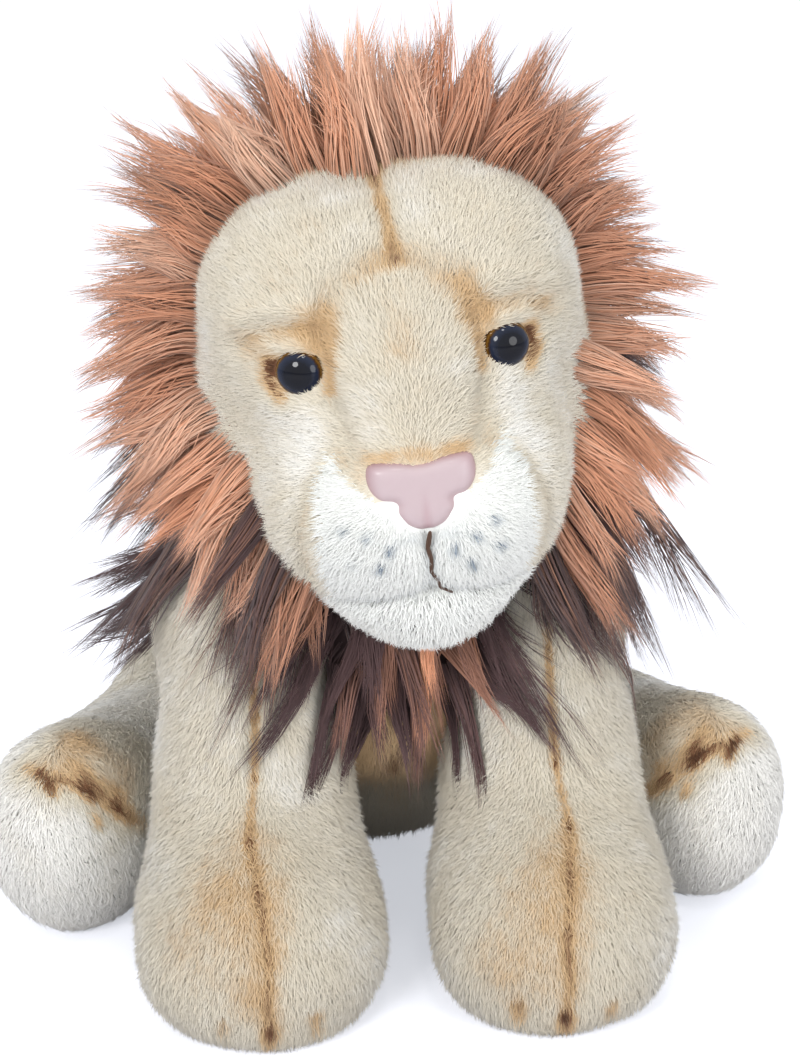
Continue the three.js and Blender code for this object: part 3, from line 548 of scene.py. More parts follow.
def scattered(points, quads, tris, per_area, rng):
    """Even random spots on a surface: the three corners of each spot's triangle, and its weights."""
    three = triangles(quads, tris)
    a, b, c = (points[three[:, k]] for k in range(3))
    area = np.linalg.norm(np.cross(b - a, c - a), axis=1) / 2
    count = int(area.sum() * per_area)
    pick = rng.choice(len(three), count, p=area / area.sum())
    u, v = rng.random((2, count))
    flip = u + v > 1
    u, v = np.where(flip, 1 - u, u), np.where(flip, 1 - v, v)
    return three[pick], np.stack([1 - u - v, u, v], 1)


def at_spots(values, corners, weights):
    return (values[corners] * weights[:, :, None]).sum(1)


def pile_paths(roots, normals, flow, size, rng, lean=1.05, wild=0.35, bent=False):
    """Paths of short tufts that lean along the flow."""
    n = len(roots)
    flow = flow - (flow * normals).sum(1, keepdims=True) * normals
    flow = unit_rows(flow) + rng.normal(size=(n, 3)) * wild
    flow = unit_rows(flow - (flow * normals).sum(1, keepdims=True) * normals)
    tilt = np.clip(lean + rng.normal(size=n) * 0.14, 0.1, 1.4)[:, None]
    way = normals * np.cos(tilt) + flow * np.sin(tilt)
    size = (size * rng.uniform(0.7, 1.12, n))[:, None]
    foot = roots - normals * 0.3
    if not bent:
        return np.stack([foot, roots + way * size], 1)
    bend = (flow - normals * 0.8) * 0.25
    return np.stack([foot, roots + way * size * 0.5, roots + (way + bend) * size], 1)


# Materials


def put(tree, socket, value):
    """Links a socket to another, or sets its value."""
    if isinstance(value, bpy.types.NodeSocket):
        tree.links.new(value, socket)
    else:
        socket.default_value = value


def add_node(tree, kind, **values):
    """A new shader node. Each value goes to the input of that name, with _ for a space."""
    node = tree.nodes.new(f"ShaderNode{kind}")
    for title, value in values.items():
        put(tree, node.inputs[title.replace("_", " ")], value)
    return node


def math_node(tree, operation, *values, clamp=False):
    node = add_node(tree, "Math")
    node.operation = operation
    node.use_clamp = clamp
    for socket, value in zip(node.inputs, values):
        put(tree, socket, value)
    return node.outputs[0]


def gained(tree, value, gain, base, clamp=False):
    """A value times a gain, on top of a base."""
    return math_node(tree, "ADD", math_node(tree, "MULTIPLY", value, gain), base, clamp=clamp)


def scale_colour(tree, tint, factor):
    node = add_node(tree, "VectorMath")
    node.operation = "SCALE"
    put(tree, node.inputs[0], tint)
    put(tree, node.inputs["Scale"], factor)
    return node.outputs[0]


def shade_of(tree, tint):
    node = add_node(tree, "RGB")
    node.outputs[0].default_value = (*tint, 1)
    return node.outputs[0]


def colour_ramp(tree, factor, stops, interpolation="LINEAR"):
    node = add_node(tree, "ValToRGB", Fac=factor)
    node.color_ramp.interpolation = interpolation
    points = node.color_ramp.elements
    while len(points) < len(stops):
        points.new(0.5)
    for element, (place, tint) in zip(points, stops):
        element.position = place
        element.color = (*tint, 1)
    return node.outputs["Color"]


def map_places(tree, title):
    """The two numbers of a map, across and along."""
    places = add_node(tree, "UVMap")
    places.uv_map = title
    return add_node(tree, "SeparateXYZ", Vector=places.outputs["UV"]).outputs[:2]


def own_places(tree):
    """Places that are fixed to the piece."""
    return add_node(tree, "TexCoord").outputs["Object"]


def grain(tree, scale, detail=2.0, distortion=0.0, places=None):
    """Noise from 0 to 1, at the piece's own places where none are given."""
    places = places or own_places(tree)
    noise = add_node(tree, "TexNoise", Scale=scale, Detail=detail, Distortion=distortion, Vector=places)
    return noise.outputs["Fac"]


def bump_onto(tree, shader, height, strength, reach):
    bump = add_node(tree, "Bump", Strength=strength, Distance=reach, Height=height)
    put(tree, shader["Normal"], bump.outputs["Normal"])


def new_group(name, inputs, outputs):
    """An empty node group with its named sockets: floats with a default, or colours."""
    group = bpy.data.node_groups.new(name, "ShaderNodeTree")
    for title, value in inputs.items():
        kind = "NodeSocketColor" if value is None else "NodeSocketFloat"
        socket = group.interface.new_socket(name=title, in_out="INPUT", socket_type=kind)
        if value is not None:
            socket.default_value = value
    for title, kind in outputs.items():
        group.interface.new_socket(name=title, in_out="OUTPUT", socket_type=f"NodeSocket{kind}")
    return group, group.nodes.new("NodeGroupInput").outputs, group.nodes.new("NodeGroupOutput").inputs


def pile_shade_group():
    """Shade along a strand: darker at its root, paler at its tip, with mottling from strand to strand."""
    group, given, result = new_group(
        "Pile Shade",
        {"Colour": None, "Across": 0.5, "Along": 0.5, "Root Shade": 0.35, "Tip Light": 0.1, "Mottle": 0.15},
        {"Colour": "Color", "Roughness": "Float"},
    )
    spot = add_node(
        group, "CombineXYZ", X=math_node(group, "MULTIPLY", given["Across"], 40.0),
        Y=math_node(group, "MULTIPLY", given["Along"], 2.0),
    )
    noise = grain(group, 1.6, places=spot.outputs[0])
    root = add_node(
        group, "MapRange", From_Min=0.0, From_Max=0.55, To_Min=1.0, To_Max=0.0, Value=given["Along"]
    )
    root.interpolation_type = "SMOOTHSTEP"
    darker = math_node(group, "MULTIPLY", root.outputs["Result"], given["Root Shade"])
    lighter = math_node(group, "MULTIPLY", math_node(group, "POWER", given["Along"], 2.0), given["Tip Light"])
    mottled = math_node(group, "MULTIPLY", math_node(group, "SUBTRACT", noise, 0.5), given["Mottle"])
    factor = math_node(group, "ADD", math_node(group, "SUBTRACT", 1.0, darker), lighter)
    factor = math_node(group, "ADD", factor, mottled)
    put(group, result["Colour"], scale_colour(group, given["Colour"], factor))
    put(group, result["Roughness"], gained(group, noise, 0.3, 0.62, clamp=True))
    return group


def weave_group():
    """Woven cloth: two crossed waves, as a colour factor and a height."""
    group, given, result = new_group(
        "Cloth Weave", {"Scale": 700.0, "Depth": 0.35}, {"Factor": "Float", "Height": "Float"}
    )
    places = own_places(group)
    waves = []
    for direction in ("X", "Z"):
        wave = add_node(group, "TexWave", Distortion=0.6, Vector=places, Scale=given["Scale"])
        wave.bands_direction = direction
        waves.append(wave.outputs["Fac"])
    height = math_node(group, "MULTIPLY", *waves)
    low = math_node(group, "SUBTRACT", 1.0, given["Depth"])
    put(group, result["Factor"], gained(group, height, given["Depth"], low))
    put(group, result["Height"], height)
    return group


def group_node(tree, name, build, **values):
    """A node group in a material, built the first time that it is asked for."""
    node = add_node(tree, "Group")
    node.node_tree = bpy.data.node_groups.get(name) or build()
    for title, value in values.items():
        put(tree, node.inputs[title.replace("_", " ")], value)
    return node.outputs


def plain_material(name, tint, roughness, coat=0.0):
    """A new material of one colour, with its tree and its shader's inputs."""
    material = bpy.data.materials.new(name)
    material.use_nodes = True
    inputs = material.node_tree.nodes["Principled BSDF"].inputs
    inputs["Base Color"].default_value = (*tint, 1)
    inputs["Roughness"].default_value = roughness
    inputs["Coat Weight"].default_value = coat
    return material, material.node_tree, inputs


def pile_material(name, stops, root_shade=0.34, tip_light=0.26, mottle=0.14, sheen=0.15, specular=0.25):
    """A pile whose colour follows the tone that is written across its map."""
    if name in bpy.data.materials:
        return bpy.data.materials[name]
    material, tree, shader = plain_material(name, stops[0][1], 0.5)
    across, along = map_places(tree, PILE_MAP)
    shade = group_node(
        tree, "Pile Shade", pile_shade_group, Colour=colour_ramp(tree, across, stops, "EASE"), Across=across,
        Along=along, Root_Shade=root_shade, Tip_Light=tip_light, Mottle=mottle,
    )
    put(tree, shader["Base Color"], shade["Colour"])
    put(tree, shader["Roughness"], shade["Roughness"])
    shader["Sheen Weight"].default_value = sheen
    shader["Sheen Roughness"].default_value = 0.5
    shader["Specular IOR Level"].default_value = specular
    return material


def darker(tint, share):
    """A share of a dye's light."""
    return [c * share for c in tint]


def blended(first, second, share):
    """A dye with a share of a second one."""
    return [a * (1 - share) + b * share for a, b in zip(first, second)]


def cream_plush(dyes):
    stops = [
        (0, dyes.ivory), (0.3, dyes.cream), (0.6, dyes.tan), (0.85, dyes.brown),
        (1, darker(dyes.brown, 0.45)),
    ]
    return pile_material("Cream Plush", stops, 0.16, 0.06, 0.07, 0.25, 0.2)


def white_plush(dyes):
    grey = blended(dyes.white, dyes.slate, 1 / 3)
    stops = [(0, dyes.white), (0.45, grey), (0.75, dyes.slate), (1, dyes.umber)]
    return pile_material("White Plush", stops, 0.12, 0.03, 0.05, 0.25, 0.2)


def mane_pile(dyes):
    stops = [
        (0, dyes.umber), (0.25, darker(dyes.rust, 0.5)), (0.5, dyes.rust),
        (0.75, blended(dyes.rust, dyes.ginger, 0.5)), (1, dyes.ginger),
    ]
    return pile_material("Mane Pile", stops)


def dark_pile(dyes):
    stops = [
        (0, darker(dyes.umber, 0.55)), (0.4, dyes.umber), (0.75, blended(dyes.umber, dyes.rust, 1 / 3)),
        (1, dyes.rust),
    ]
    return pile_material("Dark Pile", stops, 0.4, 0.4, 0.2)


def woven_onto(tree, shader, tint, scale):
    """Gives a material the look of woven cloth."""
    cloth = group_node(tree, "Cloth Weave", weave_group, Scale=scale)
    put(tree, shader["Base Color"], scale_colour(tree, shade_of(tree, tint), cloth["Factor"]))
    bump_onto(tree, shader, cloth["Height"], 0.4, 0.0004)


# Covers


class Cover:
    """A form's skin with its sculpted relief and its dye, ready to be cut into panels."""

    def __init__(self, form, rings, sides, cap_share, relief, local=False):
        """local says that the points are the head's own, which coat then moves and turns."""
        fine = less()
        self.local = local
        self.points, (self.quads, self.tris) = form.skin(int(rings * fine), int(sides * fine), cap_share)
        self.points = self.points + form.normal(self.points) * relief(self.points)[:, None]

    def ease(self, weight, times):
        """Softens the skin from ring to ring where the weight is high."""
        rings = (len(self.points) - 2) // (self.quads[0, 2] - self.quads[0, 1])
        body = self.points[1:-1].reshape(rings, -1, 3)
        share = weight(self.points[1:-1]).reshape(rings, -1, 1)[1:-1] * 0.5
        for _ in range(round(times * less())):
            middle = (body[:-2] + body[2:]) / 2
            body[1:-1] += (middle - body[1:-1]) * share

    def rest(self):
        """Flattens what lies below the floor."""
        self.points[:, 2] = np.maximum(self.points[:, 2], 0)

    def finish(self, tone=None):
        """Works out the normals once the points stay. tone gives the dye's depth at points."""
        self.normals = point_normals(self.points, self.quads, self.tris)
        self.tone = tone
        return self

    def panel(self, keep):
        """Points, quads, triangles and normals where keep holds for the faces' middles."""
        kept = [
            keep(self.points[faces].mean(1)) if len(faces) else np.zeros(0, bool)
            for faces in (self.quads, self.tris)
        ]
        used, quads, tris = part_of(len(self.points), self.quads, self.tris, *kept)
        return self.points[used], quads, tris, self.normals[used]


def same(vectors):
    return vectors


def coat(name, skin, flow, size, tone, seed, place=same, turn=same, bare=None, dense=1.0, wide=1.0, **pile):
    """A mesh of skin with pile on it.

    skin is points, quads, tris and normals. bare says where no pile grows.
    """
    settings = bpy.context.scene.lion_pile
    rng = np.random.default_rng(seed)
    points, quads, tris, normals = skin
    density = settings.density * less() * dense
    width = settings.width / METRE * 1.0 * wide
    corners, weights = scattered(points, quads, tris, density, rng)
    roots, ups = at_spots(points, corners, weights), unit_rows(at_spots(normals, corners, weights))
    if bare is not None:
        shown = ~bare(roots)
        roots, ups = roots[shown], ups[shown]
    lengths = size(roots) if callable(size) else np.full(len(roots), size)
    path = pile_paths(roots, ups, flow(roots), lengths, rng, **pile)
    seen = path[:, 0] * 0.3 + path[:, -1] * 0.7
    depth = tone(seen) + rng.normal(size=len(roots)) * 0.022
    fibres = Fibres()
    # The skin is a touch deeper in tone than the tufts: painted shade between the tufts
    fibres.skin(place(points), quads, tris, turn(normals), tone(points) + 0.03, rng)
    path = place(path.reshape(-1, 3)).reshape(path.shape)
    path[:, 1:, 2] = np.maximum(path[:, 1:, 2], FLOOR_ROOM)
    fibres.strands(path, width * rng.uniform(0.8, 1.2, len(roots)), turn(ups), depth, rng)
    return fibres.mesh(name)


def plush_panel(name, cover, keep, body, node, material, size, flow, seed, slot="plush_ivory", **pile):
    """One sewn panel of a cover."""
    if cover.local:
        pile.update(place=from_head, turn=turn_head)
    mesh = coat(name, cover.panel(keep), flow, size, cover.tone, seed, **pile)
    place_piece(mesh, body, node, slot, material)


# Head

EYE_AT = (30.0, 20.0)
# No pile grows nearer to the middle of an eye, or further inside the nose's outline, than this
EYE_CLEAR, NOSE_CLEAR = 6.2, -0.9
# Where the forehead begins, and the half angle of the hollow at the neck
FOREHEAD_FOOT, HOLLOW_DEGREES = 29, 52
CREASE = [(0, -14, 66), (0, -30, 63), (1, -40, 57), (1, -48, 51)]
BROW = [(-43, -46, 28), (-36, -50, 31.5), (-28, -55, 32.5), (-22, -57, 31)]
BRIDGE_SIDE = [(-5, -49, 49), (-18, -54, 43), (-22, -57, 34), (-24, -60, 22), (-21, -66, 8), (-19, -71, 0)]
CHEEK_SEAM = [(-23, -69, -1), (-31, -67, -12), (-35, -65, -26), (-34, -62, -42)]
PHILTRUM = [(0, -80, -24), (0, -79, -32), (0, -76, -40), (0, -73, -46)]
MOUTH = [(0, -73, -46), (-11, -71, -48), (-24, -64, -50)]
HEAD_RELIEF = both(
    [
        (BROW, 3.4, -1.8),
        (BRIDGE_SIDE, 4.2, -3.4),
        (CHEEK_SEAM, 3.4, -2.4),
        (MOUTH, 3.0, -3.0),
        ([(-45, -38, -6), (-43, -38, -34)], 15.0, -5.5),
        ([(-31, -50, 20)], 8.0, -2.2),
        ([(-42, -44, 34), (-34, -50, 38), (-26, -53, 38)], 6.0, 3.0),
        ([(-36, -49, 27.5), (-27, -55, 28)], 3.0, 2.6),
        ([(-36, -50, 10), (-27, -58, 9)], 5.0, 1.2),
    ]
) + [(CREASE, 4.0, -5.0), (PHILTRUM, 2.8, -2.6), ([(0, -62, -60)], 10.0, 1.6)]
FACE_MARKS = both(
    [
        # Brow, bridge side and cheek seam marks follow the face's creases: airbrushed tan, with painted shade
        # in the creases
        (BROW, 3.2, 0.1),
        (BROW, 9.0, 0.17),
        (BRIDGE_SIDE, 4.0, 0.15),
        (BRIDGE_SIDE[:2], 6.0, 0.08),
        # Painted shade at the nose's top corners
        ([(-15, -73, -1.6), (-10, -76, -0.8)], 3.0, 0.17),
        (CHEEK_SEAM, 3.0, 0.24),
        # Painted shade at the eyes' outer and inner corners, where they sink into the face
        ([(-37.5, -51, 22), (-38.5, -50, 17), (-36, -53, 12.5)], 3.0, 0.66),
        ([(-23, -59, 24), (-22, -60, 16)], 2.4, 0.34),
        ([(-30, -60, 6), (-33, -64, -10)], 8.0, -0.12),
        ([(-32, -44, 50)], 14.0, 0.1),
    ]
) + [
    # The forehead's crease line: airbrushed, with painted shade in the crease
    ([(x, y + 1, z - 4) for x, y, z in CREASE], 2.8, 0.42),
    ([(0, -52, 44), (0, -62, 26)], 9.0, 0.14),
    ([(0, -68, 14)], 10.0, 0.06),
    # Painted shade along the nose's top edge
    ([(-13, -76, -2), (-8, -77, -1.5), (8, -77, -1.5), (13, -76, -2)], 4.0, 0.22),
    ([(-18, -75, -6)], 4.0, 0.2),
    ([(27, -74, -18)], 6.0, 0.3),
]
WHISKERS = [
    (-24, -76, -22), (-18, -79, -24), (-12, -80, -29), (-22, -75, -33), (-15, -78, -35),
    (7, -80, -32), (14, -80, -28), (21, -78, -33), (20, -79, -24), (12, -78, -38),
]
MUZZLE_MARKS = [([spot], 1.9, 0.75) for spot in WHISKERS] + [
    # The mouth, philtrum and under-nose marks are painted shade in the mouth's crease, the groove and under
    # the nose; the whisker spots are printed
    *both([(MOUTH, 2.2, 0.3)]),
    (PHILTRUM, 1.8, 0.25),
    ([(-14, -76, -22), (-9, -79, -26), (0, -80, -27), (9, -79, -26), (14, -76, -22)], 2.2, 0.2),
]


def full_loop(half):
    """An outline from its right half, which runs from the bottom up, and the same on the left."""
    return half + [(-x, z) for x, z in half[::-1] if x]


MUZZLE_PEAK = [(14, -13), (19, -9), (24, -2)]
BRIDGE_OUTLINE = full_loop(MUZZLE_PEAK + [(24, 3), (23, 25), (20, 35), (10, 48)])
MUZZLE_OUTLINE = full_loop([(0, -46.5), (27, -46.5), (30.5, -34), (29, -12.4), *MUZZLE_PEAK[::-1]])
CHIN_OUTLINE = full_loop([(28.5, -93), (29, -46.5)])
NOSE_WIDTH, NOSE_HEIGHT, NOSE_TOP = 15.6, 21.5, -3.2
NOSE_OUTLINE = [
    (0.93, -0.02), (0.5, 0), (0, -0.05), (-0.5, 0), (-0.93, -0.02), (-1.03, -0.18), (-1.0, -0.38),
    (-0.84, -0.55), (-0.66, -0.66), (-0.52, -0.8), (-0.34, -0.94), (0, -1.01), (0.34, -0.94), (0.52, -0.8),
    (0.66, -0.66), (0.84, -0.55), (1.0, -0.38), (1.03, -0.18),
]
NOSE_EDGE = [(x * NOSE_WIDTH, z * NOSE_HEIGHT + NOSE_TOP) for x, z in NOSE_OUTLINE]


def head_relief(points):
    return 0.8 + summed(points, HEAD_RELIEF) + ripple(points, 26, 3) * 0.35


def head_tone(points):
    tone = 0.23 + ripple(points, 22, 5) * 0.05 + ripple(points, 7, 6) * 0.03 + summed(points, FACE_MARKS)
    # Darker towards the mane's hairline: painted shade under the mane
    return np.clip(tone + ramp(points[:, 1], -17, -9) * 0.35, 0, 1)


def muzzle_tone(points):
    return np.clip(0.04 + ripple(points, 9, 8) * 0.02 + summed(points, MUZZLE_MARKS), 0, 1)


def nape_tone(points):
    return np.full(len(points), 0.12) + ripple(points, 9, 4) * 0.05


def head_flow(points):
    away = points - np.array([0, -70, -10])
    away[:, 1] += 14
    away[:, 0] *= 1.2
    return unit_rows(away) + np.array([0, 0.25, -0.15])


def eye_room(points):
    """Distance from the eyes' middles seen from the front."""
    x, y, z = points.T
    return np.hypot(np.abs(x) - EYE_AT[0], z - EYE_AT[1]) + np.maximum(y + 30, 0)


def nose_room(points):
    """Distance from the nose's edge seen from the front, negative inside it."""
    edge = NOSE_EDGE + NOSE_EDGE[:1]
    gap = near_path(points * [1, 0, 1], [(x, 0, z) for x, z in edge])
    inside = in_outline(points[:, 0], points[:, 2], NOSE_EDGE)
    return np.where(inside, -gap, gap) + np.maximum(points[:, 1] + 55, 0)


def face_bare(points):
    """Where the eyes and the nose leave no room for pile."""
    return (eye_room(points) < EYE_CLEAR) | (nose_room(points) < NOSE_CLEAR)


def on_panel(kind, sign=0):
    """Which points belong to a panel of the head, on one side where a sign is given."""

    def keep(points):
        x, y, z = points.T
        label = np.where(z > FOREHEAD_FOOT, "forehead", "cheek").astype("<U16")
        label[in_outline(x, z, CHIN_OUTLINE)] = "chin"
        label[in_outline(x, z, MUZZLE_OUTLINE)] = "muzzle"
        label[in_outline(x, z, BRIDGE_OUTLINE)] = "nose_bridge"
        label[y >= FACE_BACK] = "head_back"
        return (label == kind) & (x * sign >= 0)

    return keep


def head_cover(tone=None, rings=130, sides=190, proud=0.0):
    """The head's skin, hollowed for the neck's ball."""
    cover = Cover(HEAD, rings, sides, 0.4, lambda points: head_relief(points) + proud, local=True)
    points = cover.points
    reach = np.linalg.norm(points, axis=1)
    inside = (points @ (NECK_DOWN @ ROLL)) / np.maximum(reach, 1e-9) > math.cos(math.radians(HOLLOW_DEGREES))
    over = inside & (reach > NECK_RADIUS)
    points[over] *= (NECK_RADIUS / reach[over])[:, None]
    return cover.finish(tone)


class LION_OT_head(bpy.types.Operator):
    """Sew the head's panels: forehead, cheeks, nose bridge, muzzle, chin and the back of the head"""

    bl_idname = "lion.head"
    bl_label = "Head Plush"

    def execute(self, context):
        pile, dyes = context.scene.lion_pile, context.scene.lion_colours
        cream, white = cream_plush(dyes), white_plush(dyes)
        face, muzzle = pile.face / METRE, pile.muzzle / METRE
        cover, snout = head_cover(head_tone), head_cover(muzzle_tone)

        def beside_nose(points):
            return np.clip(0.45 + nose_room(points) / 12, 0.4, 1)

        def on_face(points):
            return face * np.clip(0.4 + eye_room(points) / 26, 0, 1) * beside_nose(points)

        def on_muzzle(points):
            return muzzle * beside_nose(points)

        for kind in ("forehead", "cheek"):
            for side, sign in SIDES.items():
                self.sew(cover, kind, cream, on_face, 11 + sign, side, bare=face_bare)
        self.sew(cover, "nose_bridge", cream, on_face, 14, bare=face_bare)
        for side, sign in SIDES.items():
            self.sew(snout, "muzzle", white, on_muzzle, 16 + sign, side, slot="plush_white", bare=face_bare)
        chin = {"slot": "plush_white", "lean": 0.85, "bent": True, "dense": 0.8}
        self.sew(snout, "chin", white, muzzle * 1.15, 19, **chin)
        nape = head_cover(nape_tone)
        self.sew(nape, "head_back", mane_pile(dyes), face, 21, slot="fur_dark", dense=0.2, wide=1.6)
        return {"FINISHED"}

    def sew(self, cover, kind, material, size, seed, side=None, **pile):
        """One panel of the head, or of one side of it."""
        name = f"{kind}_{side}" if side else kind
        keep = on_panel(kind, SIDES.get(side, 0))
        plush_panel(name, cover, keep, "head", f"{name}_panel", material, size, head_flow, seed, **pile)


# Mane

# Strands keep off the body, and those that have to be pushed further than this are left out
LOCKS_KEEP_OFF, LONGEST_PUSH = 5.0, 11.0
TIPS_OF_A_LOCK = 3
FRONT_GAP, BACK_GAP, HEM_GAP = 7.2, 9.0, 7.0
HEM_LEFT, HEM_RIGHT = 66.0, 48.0
CROWN_TURN, UNDER_JAW_TURN = 42, 118


def grow_locks(
    fibres, roots, normals, way, size, tone, rng, push=None, spread=7.0, steps=6, wave=2.2, droop=0.16,
    gather=1.9, loose=0.9, fork=4.0, dense=1.0,
):
    """Pointed locks. A lock's strands start round its root and run together into a few tips."""
    settings = bpy.context.scene.lion_mane
    n = len(roots)
    many = int(settings.strands * less() * dense)
    lock = np.repeat(np.arange(n), many)
    count = len(lock)
    t = np.linspace(0, 1, steps)[None, :, None]
    side = unit_rows(np.cross(way, rng.normal(size=(n, 3))))
    other = np.cross(unit_rows(way), side)
    angle, reach = rng.uniform(0, 2 * math.pi, count), spread * np.sqrt(rng.random(count))
    start = side[lock] * (np.cos(angle) * reach)[:, None] + other[lock] * (np.sin(angle) * reach)[:, None]
    start -= (start * normals[lock]).sum(1, keepdims=True) * normals[lock]
    branch = lock * TIPS_OF_A_LOCK + rng.integers(0, TIPS_OF_A_LOCK, count)
    tips = n * TIPS_OF_A_LOCK
    tip = (rng.normal(size=(tips, 3)) * fork)[branch] + start * 0.15 + rng.normal(size=(count, 3)) * loose
    full = rng.random(count) < 0.72
    grown = np.where(full, rng.uniform(0.86, 1.02, count), rng.uniform(0.45, 0.86, count))
    long = size[lock] * grown * rng.uniform(0.85, 1.05, tips)[branch] * (1.12 - 0.32 * reach / spread)
    bow = rng.normal(size=(n, 3)) * wave
    phase = rng.uniform(0, 2 * math.pi, (n, 1, 1))
    path = roots[lock][:, None] + start[:, None] * (1 - t**gather) + tip[:, None] * t**2
    path = path + (way[lock] * long[:, None])[:, None] * t
    path = path + bow[lock][:, None] * np.sin(t * 3.4 + phase[lock]) * t
    path[:, :, 2] -= (droop * long)[:, None] * t[:, :, 0] ** 2
    if push is not None:
        free = path
        path = push(path.reshape(-1, 3).copy()).reshape(path.shape)
        kept = np.linalg.norm(path - free, axis=2).max(1) < LONGEST_PUSH
        path, lock, start, count = path[kept], lock[kept], start[kept], int(kept.sum())
    path[:, :, 2] = np.maximum(path[:, :, 2], FLOOR_ROOM)
    width = settings.width / METRE * 1.0 * rng.uniform(0.8, 1.25, count)
    soft = unit_rows(normals[lock] + unit_rows(start + 1e-6) * 0.5)
    depth = np.clip(tone[lock] + rng.normal(size=count) * 0.05, 0.01, 0.99)
    fibres.strands(path, width, soft, depth, rng, softness=0.72)


def off_the_body(points):
    """Moves points out of the torso and the front legs, with room between."""
    for form in (TORSO, *FORELEG.values()):
        for _ in range(3):
            near = form.distance(points)
            close = np.flatnonzero(near < LOCKS_KEEP_OFF)
            if not len(close):
                break
            points[close] += form.normal(points[close]) * (LOCKS_KEEP_OFF - near[close])[:, None] * 0.9
    return points


def spaced_roots(points, quads, tris, normals, gap, rng):
    """Spots on a surface that keep a distance from each other."""
    corners, weights = scattered(points, quads, tris, 4.0 / gap**2, rng)
    spots = at_spots(points, corners, weights)
    ups = unit_rows(at_spots(normals, corners, weights))
    kept = []
    for i, spot in enumerate(spots):
        if not kept or np.min(((spots[kept] - spot) ** 2).sum(1)) > gap**2:
            kept.append(i)
    return spots[kept], ups[kept]


def turn_round(points):
    """Degrees from straight up, round the face."""
    return np.degrees(np.arctan2(np.abs(points[:, 0]), points[:, 2]))


def hairline(x, z):
    """Where the mane starts from the front: beside the jaw it comes forward over the cheek's edge."""
    over = np.abs(x) - (51.5 + 0.42 * z)
    low = ramp(z, -62, -52) * ramp(z, 24, 0)
    return FACE_BACK - 3 - 44 * ramp(over, 0, 5) * low


def mane_part(kind):
    """Which points of the head carry a part of the mane."""

    def keep(points):
        x, y, z = points.T
        turn = turn_round(points)
        front = (y > hairline(x, z)) & (y <= MANE_SPLIT)
        if kind == "crown":
            return front & (turn < CROWN_TURN)
        if kind == "back":
            return (y > MANE_SPLIT) & (z > -58)
        return front & (turn >= CROWN_TURN) & (x * SIDES[kind] > 0) & (z > -66)

    return keep


def below_mane(points):
    """Where the dark locks behind the cheeks start."""
    x, y, z = points.T
    return (y > 12) & (y < 36) & (z < 8) & (z > -52) & (np.abs(x) > 26)


def mane_way(points, normals, kind):
    """Locks point away from the middle of the face, lean back the deeper they start, and hang low down."""
    out = points - [0, 0, 8]
    out[:, 1] = 0
    out = unit_rows(out)
    turn = turn_round(points)
    low = ramp(turn, 62, 122)
    if kind == "back":
        way = out * 0.45 + normals * 0.9
        way[:, 2] -= 0.35
    else:
        depth = np.clip((points[:, 1] - FACE_BACK) / 32, -0.2, 2)
        way = out + normals * 0.35
        way[:, 1] += 0.5 * depth - 0.12 + 0.14 * low
        way[:, 2] -= (0.58 if kind == "left" else 0.8) * low + 0.3 * ramp(turn, 110, 150)
    waver = np.stack([ripple(points, 30, 20 + k) for k in range(3)], 1)
    return unit_rows(unit_rows(way) + waver * 0.17)


